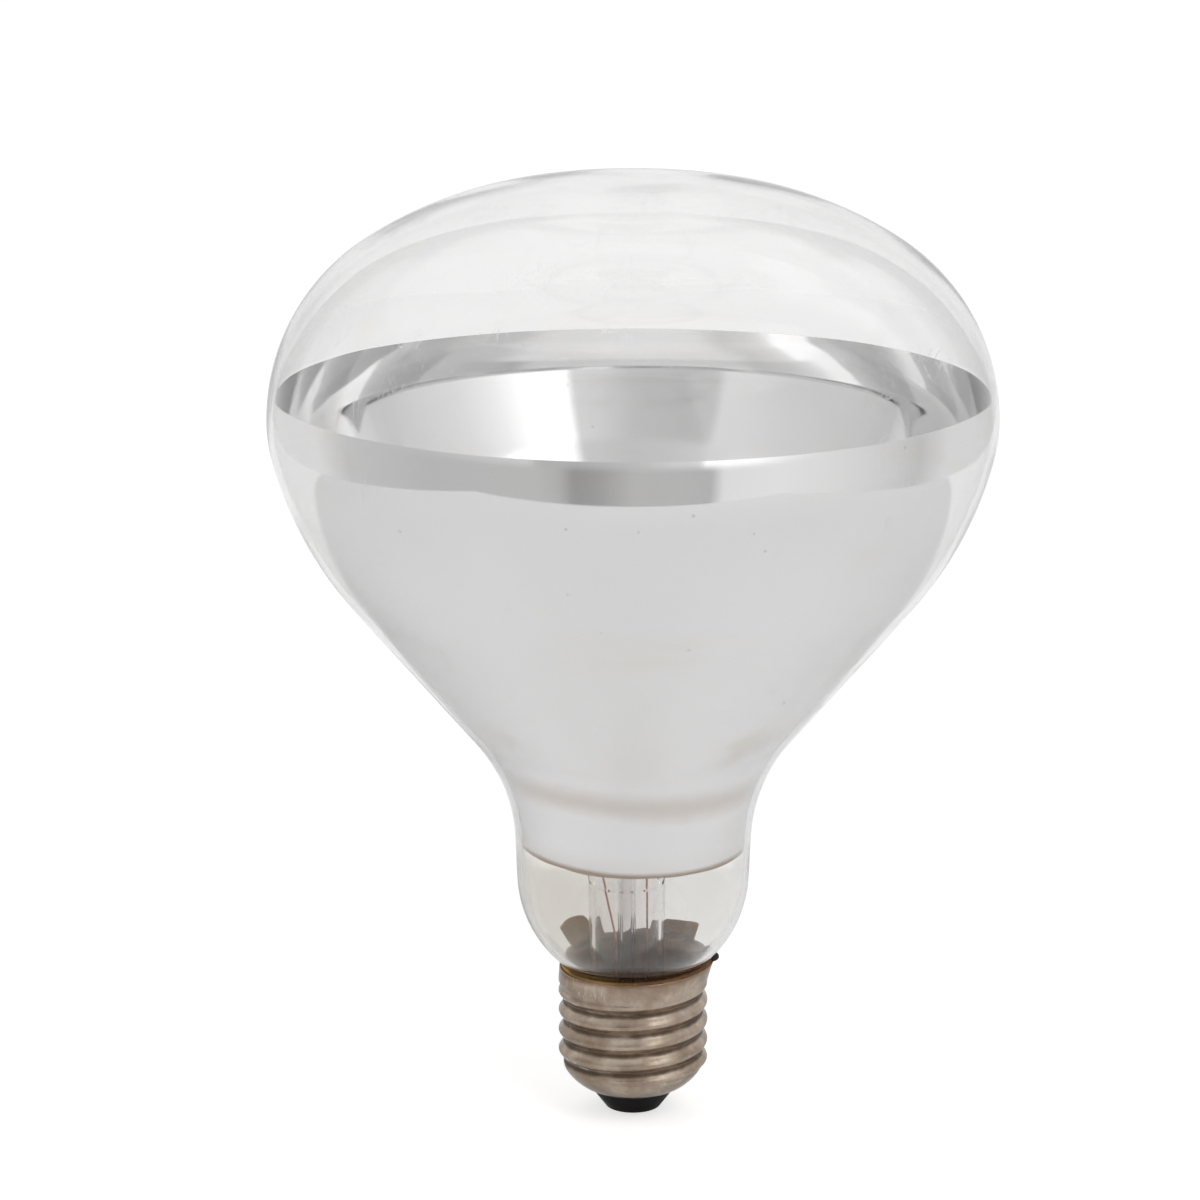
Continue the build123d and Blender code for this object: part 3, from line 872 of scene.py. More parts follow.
@dataclass(frozen=True)
class SolderMetal(Finish):
    """Solder, clean or scorched."""

    state: SolderState = SolderState.CLEAN
    skin_share: tuple[float, float, float] = (0.5, 0.46, 0.42)
    pit: Colour = (0.03, 0.022, 0.016)
    scorched_metallic: float = 0.4
    pit_depth: float = 0.1 * MM

    def shade(self, sheet: NodeSheet) -> Socket:
        """Soft metal with a frosted skin and small pits.

        Args:
            sheet: the material's nodes.

        Returns:
            The shader's socket.
        """
        base, roughness = self.state.value
        skin = MOTTLE.on(sheet, Scale=900.0, Low=0.0, High=0.6)
        dulled = tuple(tone * share for tone, share in zip(base, self.skin_share))
        colour = sheet.blend(skin, base, dulled)
        pits = SPECKS.on(sheet, Scale=2400.0, Share=0.3)
        colour = sheet.blend(sheet.times(pits, 0.6), colour, self.pit)
        rough = MOTTLE.on(sheet, Scale=1200.0, Low=roughness, High=min(1.0, roughness + 0.2))
        metal = self.principled(sheet, Base_Color=colour, Roughness=rough)
        clean = self.state is SolderState.CLEAN
        metal.inputs["Metallic"].default_value = 1.0 if clean else self.scorched_metallic
        sheet.feed(metal.inputs["Normal"], sheet.bump(sheet.cloud(1600.0, detail=4.0), 0.6, self.pit_depth))
        return metal.outputs[0]


@dataclass(frozen=True)
class ContactBrass(Finish):
    """Thin brass contact disc, dulled by use and scratched in rings."""

    brass: Colour = (0.56, 0.43, 0.24)
    dulled: Colour = (0.24, 0.17, 0.10)
    ring_scale: float = 900.0
    ring_waver: float = 3.0
    ring_depth: float = 0.03 * MM

    def shade(self, sheet: NodeSheet) -> Socket:
        """Dull brass with ring scratches.

        Args:
            sheet: the material's nodes.

        Returns:
            The shader's socket.
        """
        dull = MOTTLE.on(sheet, Scale=500.0, Low=0.0, High=0.7)
        colour = sheet.blend(dull, self.brass, self.dulled)
        rings = sheet.add("ShaderNodeTexWave", wave_type="RINGS", rings_direction="Z")
        sheet.feed(rings.inputs["Vector"], sheet.place())
        rings.inputs["Scale"].default_value = self.ring_scale
        rings.inputs["Distortion"].default_value = self.ring_waver
        rough = sheet.between(rings.outputs["Fac"], 0.30, 0.46)
        metal = self.principled(sheet, Base_Color=colour, Roughness=rough)
        metal.inputs["Metallic"].default_value = 1.0
        sheet.feed(metal.inputs["Normal"], sheet.bump(rings.outputs["Fac"], 0.2, self.ring_depth))
        return metal.outputs[0]


# Mesh making


def skinned(name: str, rings: Sequence[Sequence[Vector]], looped: bool, finish: Finish) -> bpy.types.Object:
    """Joins rings of points into one mesh object.

    Args:
        name: the object's name.
        rings: closed rings with the same count of points; a ring of one point is a pole.
        looped: joins the last ring to the first.
        finish: the surface finish.

    Returns:
        The new object, linked to the scene.
    """
    verts: list[Vector] = []
    starts: list[int] = []
    for ring in rings:
        starts.append(len(verts))
        verts.extend(ring)
    faces: list[tuple[int, ...]] = []
    count = len(rings)
    for index in range(count if looped else count - 1):
        one, two = rings[index], rings[(index + 1) % count]
        a, b = starts[index], starts[(index + 1) % count]
        steps = max(len(one), len(two))
        for step in range(steps):
            following = (step + 1) % steps
            if len(one) == 1 and len(two) == 1:
                break
            if len(one) == 1:
                faces.append((a, b + following, b + step))
            elif len(two) == 1:
                faces.append((a + step, a + following, b))
            else:
                faces.append((a + step, a + following, b + following, b + step))
    mesh = bpy.data.meshes.new(name)
    mesh.from_pydata(verts, [], faces)
    shape = bmesh.new()
    shape.from_mesh(mesh)
    bmesh.ops.recalc_face_normals(shape, faces=shape.faces)
    shape.to_mesh(mesh)
    shape.free()
    mesh.materials.append(finish.material())
    mesh.polygons.foreach_set("use_smooth", [True] * len(mesh.polygons))
    piece = bpy.data.objects.new(name, mesh)
    bpy.context.scene.collection.objects.link(piece)
    return piece


def circle(radius: float, height: float, steps: int) -> list[Vector]:
    """A level circle of points about the axis, or its pole where the radius is nothing.

    Args:
        radius: the circle's radius.
        height: its height.
        steps: count of points.

    Returns:
        The points in order.
    """
    if radius < ON_AXIS:
        return [Vector((0.0, 0.0, height))]
    turns = (math.tau * step / steps for step in range(steps))
    return [Vector((radius * math.cos(turn), radius * math.sin(turn), height)) for turn in turns]


def eased(share: float) -> float:
    """A share from 0 to 1 with soft ends."""
    return share * share * (3.0 - 2.0 * share)


def tube_rings(path: Sequence[Vector], radius: float, sides: int) -> list[list[Vector]]:
    """Rings of a round wire along a path.

    Args:
        path: points of the wire's centre line.
        radius: the wire's radius.
        sides: points on each ring.

    Returns:
        The rings, with a pole at each end.
    """
    rings: list[list[Vector]] = [[path[0]]]
    side = Vector((0.0, 0.0, 1.0))
    for index, point in enumerate(path):
        ahead = path[min(index + 1, len(path) - 1)] - path[max(index - 1, 0)]
        ahead.normalize()
        side = (side - ahead * side.dot(ahead)).normalized()
        up = ahead.cross(side)
        rings.append([
            point + (side * math.cos(turn) + up * math.sin(turn)) * radius
            for turn in (math.tau * step / sides for step in range(sides))
        ])
    rings.append([path[-1]])
    return rings


def dress(frame: dict, finish: Finish, *names: str) -> None:
    """Gives CAD nodes a finish.

    Args:
        frame: the loaded frame.
        finish: the finish.
        *names: the nodes' names.
    """
    for name in names:
        mesh = frame["nodes"][name].data
        mesh.materials.clear()
        mesh.materials.append(finish.material())
        mesh.set_sharp_from_angle(angle=SMOOTH_UNDER)
        LOG.info("%s: CAD node with %s", name, finish.name)


# The lamp's parts


@dataclass(frozen=True)
class Run:
    """One straight or evenly bent run of the bulb's half section."""

    radius: float
    height: float
    heading: float
    length: float
    rate: float

    def at(self, distance: float) -> tuple[float, float, float]:
        """Radius, height and heading at a distance along the run.

        Args:
            distance: metres from the run's start.

        Returns:
            Radius, height and heading, the heading in radians from straight up.
        """
        heading = self.heading + self.rate * distance
        if abs(self.rate) < STRAIGHT_RATE:
            return (
                self.radius + math.sin(heading) * distance,
                self.height + math.cos(heading) * distance,
                heading,
            )
        return (
            self.radius + (math.cos(self.heading) - math.cos(heading)) / self.rate,
            self.height + (math.sin(heading) - math.sin(self.heading)) / self.rate,
            heading,
        )


@dataclass
class BulbLine:
    """Half section of the bulb: tangent lines and arcs from the seal to the crown, in metres."""

    bulb_radius: float = 62.5 * MM
    neck_radius: float = 20.35 * MM
    seal_radius: float = 11.45 * MM
    seal_height: float = 16.5 * MM
    seal_length: float = 8.4 * MM
    throat_radius: float = 4.0 * MM
    base_radius: float = 20.95 * MM
    neck_taper: float = math.radians(2.6)
    neck_length: float = 7.5 * MM
    waist_radius: float = 30.9 * MM
    cone_angle: float = math.radians(40.0)
    body_radius: float = 62.7 * MM
    body_end_angle: float = math.radians(13.3)
    rim_radius: float = 22.8 * MM
    shoulder_radius: float = 35.7 * MM
    face_radius: float = 68.6 * MM
    crown_radius: float = 194.0 * MM
    crown_half_width: float = 14.0 * MM
    search_share: float = 0.75
    search_steps: int = 40
    runs: list[Run] = field(default_factory=list)

    def __post_init__(self) -> None:
        """Lays the runs end to end."""
        taper, cone, end = self.neck_taper, self.cone_angle, self.body_end_angle
        reach = self.base_radius * math.cos(taper) - self.neck_radius + self.seal_radius
        throat = math.acos((self.throat_radius + reach) / (self.throat_radius + self.base_radius))
        cone_start = self.neck_radius + self.neck_length * math.sin(taper)
        cone_start += self.waist_radius * (math.cos(taper) - math.cos(cone))
        cone_end = self.bulb_radius - self.body_radius * (math.cos(end) - math.cos(cone))
        cone_end -= self.rim_radius * (1.0 - math.cos(end))
        crown = math.asin(self.crown_half_width / self.crown_radius)
        face_reach = self.bulb_radius - self.shoulder_radius
        face_reach -= (self.crown_radius - self.face_radius) * math.sin(crown)
        face = math.asin(face_reach / (self.face_radius - self.shoulder_radius))
        quarter = math.pi / 2.0
        self.lay_line(self.seal_length)
        self.lay_arc(self.throat_radius, throat)
        self.lay_arc(self.base_radius, taper - throat)
        self.lay_line(self.neck_length)
        self.lay_arc(self.waist_radius, cone - taper)
        self.lay_line((cone_end - cone_start) / math.sin(cone))
        self.lay_arc(self.body_radius, end - cone)
        self.lay_arc(self.rim_radius, -end)
        self.lay_arc(self.shoulder_radius, face - quarter)
        self.lay_arc(self.face_radius, crown - face)
        self.lay_arc(self.crown_radius, -crown)

    def start(self) -> tuple[float, float, float]:
        """Where the next run begins: radius, height and heading.

        Returns:
            Radius, height and heading.
        """
        if not self.runs:
            return self.seal_radius, self.seal_height, 0.0
        last = self.runs[-1]
        return last.at(last.length)

    def lay_line(self, length: float) -> None:
        """Adds a straight run of the given length."""
        self.runs.append(Run(*self.start(), length, 0.0))

    def lay_arc(self, radius: float, turn: float) -> None:
        """Adds an arc.

        Args:
            radius: the arc's radius.
            turn: change of heading, positive away from the axis.
        """
        self.runs.append(Run(*self.start(), radius * abs(turn), turn / (radius * abs(turn))))

    def length(self) -> float:
        """Whole length of the line."""
        return sum(run.length for run in self.runs)

    def at(self, distance: float, inset: float = 0.0) -> tuple[float, float]:
        """Radius and height at a distance along the outside line, moved inwards by inset.

        Args:
            distance: metres from the seal's foot.
            inset: depth under the outside surface.

        Returns:
            Radius and height.
        """
        for run in self.runs:
            if distance <= run.length or run is self.runs[-1]:
                radius, height, heading = run.at(min(distance, run.length))
                return radius - inset * math.cos(heading), height + inset * math.sin(heading)
            distance -= run.length
        raise ValueError("the line has no runs")

    def where(self, below: Callable[[float, float], bool], inset: float) -> float:
        """Distance at which a rising point stops being below a limit.

        Args:
            below: tells whether a radius and height are still below the limit.
            inset: depth under the outside surface.

        Returns:
            The distance along the line.
        """
        low, high = 0.0, self.length() * self.search_share
        for _ in range(self.search_steps):
            middle = (low + high) / 2.0
            if below(*self.at(middle, inset)):
                low = middle
            else:
                high = middle
        return (low + high) / 2.0


@dataclass
class GlassEnvelope:
    """The blown bulb and the mirror film inside it."""

    line: BulbLine = field(default_factory=BulbLine)
    wall: float = 1.1 * MM
    film_gap: float = 0.03 * MM
    film_thickness: float = 0.09 * MM
    rim_height: float = 130.38 * MM
    lower_height: float = 50.67 * MM
    lower_lean: float = math.radians(5.5)
    lower_roll: float = math.radians(1.5)
    steps: int = 192
    fine_rows: int = 110
    coarse_rows: int = 100
    fine_length: float = 42.0 * MM
    film_rows: int = 150
    ragged_edge: float = 0.25 * MM
    ragged_scale: float = 3.0
    ragged_level: float = 0.4
    sharp_over: float = math.radians(60.0)

    def ring(self, radius: float, height: float) -> list[Vector]:
        """One ring of the bulb, or its pole on the axis."""
        return circle(radius, height, self.steps)

    def blow_glass(self) -> bpy.types.Object:
        """The glass wall, closed at its foot.

        Returns:
            The glass bulb.
        """
        coarse = (self.line.length() - self.fine_length) / self.coarse_rows
        stations = [self.fine_length * row / self.fine_rows for row in range(self.fine_rows)]
        stations += [self.fine_length + coarse * row for row in range(self.coarse_rows + 1)]
        outside = [self.ring(*self.line.at(station)) for station in stations]
        inside = [self.ring(*self.line.at(station, self.wall)) for station in reversed(stations)]
        return skinned("bulb_glass", outside + inside, True, ClearGlass("clear_glass"))

    def lower_edge(self, turn: float, inset: float) -> float:
        """Distance along the line of the film's lower edge on one side.

        Args:
            turn: direction round the axis.
            inset: depth under the outside surface.

        Returns:
            The distance along the line.
        """
        tilt = Matrix.Rotation(self.lower_lean, 3, "X") @ Matrix.Rotation(self.lower_roll, 3, "Y")
        normal = tilt @ Vector((0.0, 0.0, 1.0))

        def below(radius: float, height: float) -> bool:
            """True under the tilted plane of the film's lower edge.

            Args:
                radius: the point's distance from the axis.
                height: the point's height.

            Returns:
                True for a point under the edge.
            """
            around = Vector((math.cos(turn), math.sin(turn), 0.0))
            point = around * radius + Vector((0.0, 0.0, height - self.lower_height))
            ragged = noise.noise(around * self.ragged_scale + Vector((0.0, 0.0, self.ragged_level)))
            return normal.dot(point) < ragged * self.ragged_edge

        return self.line.where(below, inset)

    def coat_mirror(self) -> bpy.types.Object:
        """The mirror film as a thin closed shell just inside the glass.

        Returns:
            The film.
        """
        near = self.wall + self.film_gap
        far = near + self.film_thickness
        top = self.line.where(lambda _radius, height: height < self.rim_height, near)
        turns = [math.tau * step / self.steps for step in range(self.steps)]
        starts = [self.lower_edge(turn, near) for turn in turns]

        def film_ring(share: float, inset: float) -> list[Vector]:
            """Ring of the film at a share of the way up.

            Args:
                share: share of the way from the lower edge to the rim.
                inset: depth under the outside surface.

            Returns:
                The ring's points.
            """
            ring: list[Vector] = []
            for turn, start in zip(turns, starts):
                radius, height = self.line.at(start + (top - start) * share, inset)
                ring.append(Vector((radius * math.cos(turn), radius * math.sin(turn), height)))
            return ring

        shares = [row / self.film_rows for row in range(self.film_rows + 1)]
        rings = [film_ring(share, near) for share in shares]
        rings += [film_ring(share, far) for share in reversed(shares)]
        film = skinned("mirror_film", rings, True, MirrorFilm("mirror_film"))
        film.data.set_sharp_from_angle(angle=self.sharp_over)
        return film

    def build(self) -> None:
        """Makes the glass and the film, in place of their CAD nodes."""
        glass = self.blow_glass()
        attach(glass, "root")
        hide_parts("glass_bulb")
        film = self.coat_mirror()
        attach(film, "root")
        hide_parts("reflector_coating")
        LOG.info("bulb_glass and mirror_film built")


@dataclass
class ScrewCap:
    """The rolled cap, the cement round its mouth and the contact at its foot."""

    frame: dict
    thread_radius: float = 13.2 * MM
    root_radius: float = 12.25 * MM
    pitch: float = 25.4 / 7.0 * MM
    sheet: float = 0.3 * MM
    top: float = 24.3 * MM
    bottom: float = 8.2 * MM
    valley: float = 21.3 * MM
    fade_top: float = 1.7 * MM
    fade_bottom: float = 1.6 * MM
    mouth_height: float = 27.3 * MM
    mouth_radius: float = 13.7 * MM
    mouth_shift: float = 0.85 * MM
    mouth_tilt: float = math.radians(2.4)
    bead_height: float = 0.9 * MM
    bowl_radius: float = 12.2 * MM
    bowl_edge_radius: float = 8.0 * MM
    bowl_edge_height: float = 4.5 * MM
    bowl_bulge: float = 0.45 * MM
    cement_foot: float = 18.0 * MM
    cement_gap: float = 0.12 * MM
    cement_width: float = 0.25 * MM
    cement_low: float = 0.35 * MM
    cement_lip: float = 0.12 * MM
    cement_sag: float = 0.05 * MM
    collar_gap: float = 0.03 * MM
    thread_gap: float = 0.05 * MM
    collar_drops: tuple[float, ...] = (1.2 * MM, 0.1 * MM)
    grain_share: float = 0.18
    grain_scale: float = 5.0
    grain_level: float = 1.7
    cement_rows: int = 32
    cement_lumps: tuple[tuple[float, float, float], ...] = (
        (138.0, 19.0, 3.9 * MM),
        (52.0, 20.0, 2.8 * MM),
        (95.0, 45.0, 1.2 * MM),
        (182.0, 30.0, 0.9 * MM),
    )
    lump_edge: float = 6.0
    dent: float = 0.035 * MM
    dent_scale: float = 260.0
    lip_rise: float = 0.06 * MM
    collar_rows: int = 12
    thread_rows: int = 132
    bowl_rows: int = 14
    steps: int = 192

    def thread_circle(self, height: float) -> tuple[Vector, float]:
        """Centre and radius of the rolled thread's circle at a height.

        Args:
            height: metres above the contact.

        Returns:
            The centre and the radius.
        """
        up = (self.top - height) / self.fade_top
        down = (height - self.bottom) / self.fade_bottom
        depth = eased(max(0.0, min(1.0, up, down)))
        end = self.thread_radius if up < down else self.bowl_radius
        mean = (self.thread_radius + self.root_radius) / 2.0
        swing = (self.thread_radius - self.root_radius) / 2.0 * depth
        crest = math.tau * (height - self.valley) / self.pitch + math.pi
        centre = Vector((swing * math.sin(crest), -swing * math.cos(crest), height))
        return centre, end + (mean - end) * depth

    def dented(self, point: Vector) -> Vector:
        """Moves a point in or out a little, as handling does."""
        flat = Vector((point.x, point.y, 0.0)).normalized()
        return point + flat * noise.noise(point * self.dent_scale) * self.dent

    def thread_ring(self, height: float, inset: float) -> list[Vector]:
        """One ring of the thread.

        Args:
            height: metres above the contact.
            inset: depth under the outside surface.

        Returns:
            The ring's points.
        """
        centre, radius = self.thread_circle(height)
        return [
            self.dented(centre + Vector((math.cos(turn), math.sin(turn), 0.0)) * (radius - inset))
            for turn in (math.tau * step / self.steps for step in range(self.steps))
        ]

    def mouth_at(self, turn: float) -> float:
        """Height of the tilted mouth on one side."""
        return self.mouth_height + self.mouth_radius * math.cos(turn) * math.tan(self.mouth_tilt)

    def collar_reach(self) -> float:
        """Height over which the collar's circle shifts and widens."""
        mouth = self.mouth_height + self.mouth_radius * math.sin(self.mouth_tilt)
        return mouth + self.bead_height - self.top

    def collar_ring(self, share: float, inset: float) -> list[Vector]:
        """One ring of the collar, from the thread's top to the tilted mouth.

        Args:
            share: share of the way up to the mouth.
            inset: depth under the outside surface.

        Returns:
            The ring's points.
        """
        ring: list[Vector] = []
        for step in range(self.steps):
            turn = math.tau * step / self.steps
            height = self.top + (self.mouth_at(turn) - self.top) * share
            rise = (height - self.top) / self.collar_reach()
            radius = self.thread_radius + (self.mouth_radius - self.thread_radius) * rise - inset
            centre = Vector((self.mouth_shift * rise, 0.0, height))
            ring.append(self.dented(centre + Vector((math.cos(turn), math.sin(turn), 0.0)) * radius))
        return ring

    def bowl_ring(self, share: float, inset: float) -> list[Vector]:
        """One ring of the rounded foot, from the thread's foot down to its edge.

        Args:
            share: share of the way down.
            inset: depth under the outside surface.

        Returns:
            The ring's points.
        """
        start = Vector((self.bowl_radius - inset, self.bottom))
        end = Vector((self.bowl_edge_radius, self.bowl_edge_height + inset))
        chord = end - start
        outward = Vector((-chord.y, chord.x)).normalized()
        flat = start + chord * share + outward * (4.0 * self.bowl_bulge * share * (1.0 - share))
        return self.level_ring(flat.x, flat.y)

    def level_ring(self, radius: float, height: float) -> list[Vector]:
        """A level circle about the axis."""
        return circle(radius, height, self.steps)

    def wall_rings(self, inset: float) -> list[list[Vector]]:
        """Rings of one side of the sheet from the mouth down to the insulator.

        Args:
            inset: depth under the outside surface.

        Returns:
            The rings in order.
        """
        rows = self.collar_rows
        rings = [self.collar_ring(1.0 - row / rows, inset) for row in range(rows)]
        fall = (self.top - self.bottom) / self.thread_rows
        rings += [self.thread_ring(self.top - fall * row, inset) for row in range(self.thread_rows)]
        rings += [self.bowl_ring(row / self.bowl_rows, inset) for row in range(self.bowl_rows + 1)]
        rings.append(self.level_ring(self.bowl_edge_radius - self.sheet, self.bowl_edge_height + inset))
        return rings

    def cement_rise(self, turn: float) -> float:
        """How far the cement creeps up the glass above the mouth on one side.

        Args:
            turn: direction round the axis.

        Returns:
            The rise in metres.
        """
        rise = self.cement_low
        for centre, half_width, height in self.cement_lumps:
            off = abs((math.degrees(turn) - centre + 180.0) % 360.0 - 180.0)
            share = max(0.0, min(1.0, (half_width - off) / self.lump_edge))
            rise = max(rise, height * eased(share))
        across = math.cos(turn) * self.grain_scale
        along = math.sin(turn) * self.grain_scale
        grain = noise.noise(Vector((across, along, self.grain_level)))
        return rise * (1.0 + self.grain_share * grain)

    def cement_section(self, turn: float, line: BulbLine) -> list[Vector]:
        """Closed section of the cement on one side: up the glass, over the top and down the collar.

        Args:
            turn: direction round the axis.
            line: the bulb's half section.

        Returns:
            The section's points.
        """
        around = Vector((math.cos(turn), math.sin(turn), 0.0))
        trim = self.mouth_at(turn)
        peak = trim + self.cement_rise(turn)

        def on_glass(height: float) -> Vector:
            """Point just off the glass.

            Args:
                height: metres above the contact.

            Returns:
                The point.
            """
            radius = line.at(line.where(lambda _radius, level: level < height, 0.0))[0]
            return around * (radius + self.cement_gap) + Vector((0.0, 0.0, height))

        def on_collar(height: float) -> Vector:
            """Point just inside the collar, or inside the thread below it.

            Args:
                height: metres above the contact.

            Returns:
                The point.
            """
            rise = max(0.0, (height - self.top) / self.collar_reach())
            radius = self.thread_radius + (self.mouth_radius - self.thread_radius) * rise
            radius -= self.sheet + self.collar_gap
            if height < self.top:
                radius = self.root_radius - self.sheet - self.thread_gap
            return around * radius + Vector((self.mouth_shift * rise, 0.0, height))

        rise = (peak - self.cement_foot) / self.cement_rows
        inner = [on_glass(self.cement_foot + rise * row) for row in range(self.cement_rows + 1)]
        crown = on_glass(peak) + around * self.cement_width - Vector((0.0, 0.0, self.cement_sag))
        lip = on_collar(trim + self.cement_lip)
        levels = (trim - 0.4 * MM, *(self.top + drop for drop in self.collar_drops))
        down = [on_collar(height) for height in levels]
        levels = (self.top - 0.1 * MM, self.cement_foot + 2.0 * MM, self.cement_foot)
        deep = [on_collar(height) for height in levels]
        return [*inner, crown, (crown + lip) / 2.0 + around * 0.1 * MM, lip, *down, *deep]

    def pack_cement(self) -> bpy.types.Object:
        """The baked cement between glass and cap, a hair clear of both.

        Returns:
            The cement.
        """
        line = BulbLine()
        sections = [self.cement_section(math.tau * step / self.steps, line) for step in range(self.steps)]
        rings = [list(ring) for ring in zip(*sections)]
        return skinned("cement_ring", rings, True, BakedCement("cement"))

    def roll_shell(self) -> bpy.types.Object:
        """The rolled sheet of the cap, with its rounded lip.

        Returns:
            The cap's shell.
        """
        outside = self.wall_rings(0.0)
        inside = self.wall_rings(self.sheet)
        over = Vector((0.0, 0.0, self.lip_rise))
        lip = [(outer + inner) / 2.0 + over for outer, inner in zip(outside[0], inside[0])]
        return skinned("screw_shell", [lip] + outside + inside[::-1], True, CapMetal("cap_metal"))

    def build(self) -> None:
        """Makes the shell and dresses the cap's other pieces."""
        shell = self.roll_shell()
        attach(shell, "root")
        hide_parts("cap_shell")
        cement = self.pack_cement()
        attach(cement, "root")
        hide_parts("basing_cement")
        LOG.info("screw_shell and cement_ring built")
        dress(self.frame, BlackGlass("black_glass"), "cap_insulator")
        dress(self.frame, ContactBrass("contact_brass"), "contact_plate")
        dress(self.frame, SolderMetal("solder_clean", SolderState.CLEAN), "contact_solder")
        dress(self.frame, SolderMetal("solder_scorched", SolderState.SCORCHED), "side_solder")


@dataclass
class FilamentMount:
    """Stem, wires, hooks and the coiled filament."""

    frame: dict
    offset: float = -1.1 * MM
    height: float = 88.05 * MM
    ring_radius: float = 13.0 * MM
    coil_radius: float = 0.9 * MM
    wire_radius: float = 0.13 * MM
    coil_pitch: float = 0.52 * MM
    gap: float = math.radians(44.0)
    hooks: int = 5
    points_a_turn: int = 14
    wire_sides: int = 6
    unevenness: float = 0.06
    uneven_rate: float = 97.0
    stem_tint: Colour = (0.965, 0.955, 0.957)

    def wind_coil(self) -> bpy.types.Object:
        """The filament as finely wound wire round its open ring.

        Returns:
            The filament.
        """
        sweep = math.tau - self.gap
        start = math.pi / 2.0 + self.gap / 2.0
        turns = self.ring_radius * sweep / self.coil_pitch
        count = int(turns * self.points_a_turn)
        level = Vector((self.offset, 0.0, self.height))
        upward = Vector((0.0, 0.0, 1.0))
        path: list[Vector] = []
        for index in range(count + 1):
            share = index / count
            around = start + sweep * share
            wind = math.tau * turns * share
            uneven = 1.0 + self.unevenness * math.sin(share * self.uneven_rate)
            reach = (self.coil_radius - self.wire_radius) * uneven
            outward = Vector((math.cos(around), math.sin(around), 0.0))
            centre = level + outward * self.ring_radius
            path.append(centre + (outward * math.cos(wind) + upward * math.sin(wind)) * reach)
        rings = tube_rings(path, self.wire_radius, self.wire_sides)
        return skinned("filament_coil", rings, False, TungstenCoil("tungsten"))

    def build(self) -> None:
        """Winds the filament and dresses the mount's CAD nodes."""
        coil = self.wind_coil()
        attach(coil, "root")
        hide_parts("filament")
        LOG.info("filament_coil wound")
        stem_glass = ClearGlass("stem_glass", neck_left=self.stem_tint, neck_right=self.stem_tint)
        dress(self.frame, stem_glass, "glass_stem", "exhaust_tube", "support_rod")
        hook_wire = DrawnWire("hook_wire", WireKind.MOLYBDENUM)
        dress(self.frame, hook_wire, *(f"filament_hook_{number + 1}" for number in range(self.hooks)))
        dress(self.frame, DrawnWire("lead_wire", WireKind.NICKEL), "inner_lead_left", "inner_lead_right")
        copper = DrawnWire("copper_clad_wire", WireKind.COPPER_CLAD)
        dress(self.frame, copper, "seal_wire_left", "seal_wire_right", "outer_lead_centre", "outer_lead_side")


# Studio


@dataclass(frozen=True)
class WhiteTable(Finish):
    """White table: plain diffuse white; painted light makes metal and glass see it brighter behind the lamp
    than in front of it, with a painted pool of light round the lamp's foot.
    """

    white: Colour = (0.80, 0.80, 0.80)
    seen_by_camera: float = 0.62
    front_painted_light: float = 0.24
    back_painted_light: float = 0.42
    foot_pool_light: float = 0.08
    foot_pool_reach: float = 0.22
    fold: float = 0.14
    fold_width: float = 0.008
    lamp_edge: float = 0.02

    def shade(self, sheet: NodeSheet) -> Socket:
        """Diffuse white plus the level at which each kind of ray sees the table, with painted light for
        glossy and transmission rays.

        Args:
            sheet: the material's nodes.

        Returns:
            The shader's socket.
        """
        start = self.fold - self.fold_width / 2.0
        end = self.fold + self.fold_width / 2.0
        # Painted light: glossy and transmission rays see the table brighter behind the fold than in front of
        # it.
        level = sheet.fade(sheet.axes()[1], start, end, self.front_painted_light, self.back_painted_light)
        # Painted pool of light on the table round the lamp's foot.
        near = sheet.fade(sheet.off_axis(), self.lamp_edge, self.foot_pool_reach, self.foot_pool_light, 0.0)
        level = sheet.plus(level, near)
        camera = sheet.times(sheet.ray(RayKind.CAMERA), self.seen_by_camera)
        others = sheet.times(sheet.ray(RayKind.GLOSSY, RayKind.TRANSMISSION), level)
        glow = sheet.add("ShaderNodeEmission")
        sheet.feed(glow.inputs["Strength"], sheet.plus(camera, others))
        plain = sheet.add("ShaderNodeBsdfDiffuse")
        sheet.feed(plain.inputs["Color"], self.white)
        total = sheet.add("ShaderNodeAddShader")
        sheet.feed(total.inputs[0], plain.outputs[0])
        sheet.feed(total.inputs[1], glow.outputs[0])
        return total.outputs[0]


@dataclass(frozen=True)
class SkyRing:
    """Tones of the studio's walls over a range of elevation, by direction round the lamp."""

    from_elevation: float
    soft: float
    tones: tuple[tuple[float, float], ...]


@dataclass(frozen=True)
class SoftLamp:
    """A square soft lamp: its name, place, side in metres and power in watts."""

    name: str
    place: tuple[float, float, float]
    size: float
    power: float


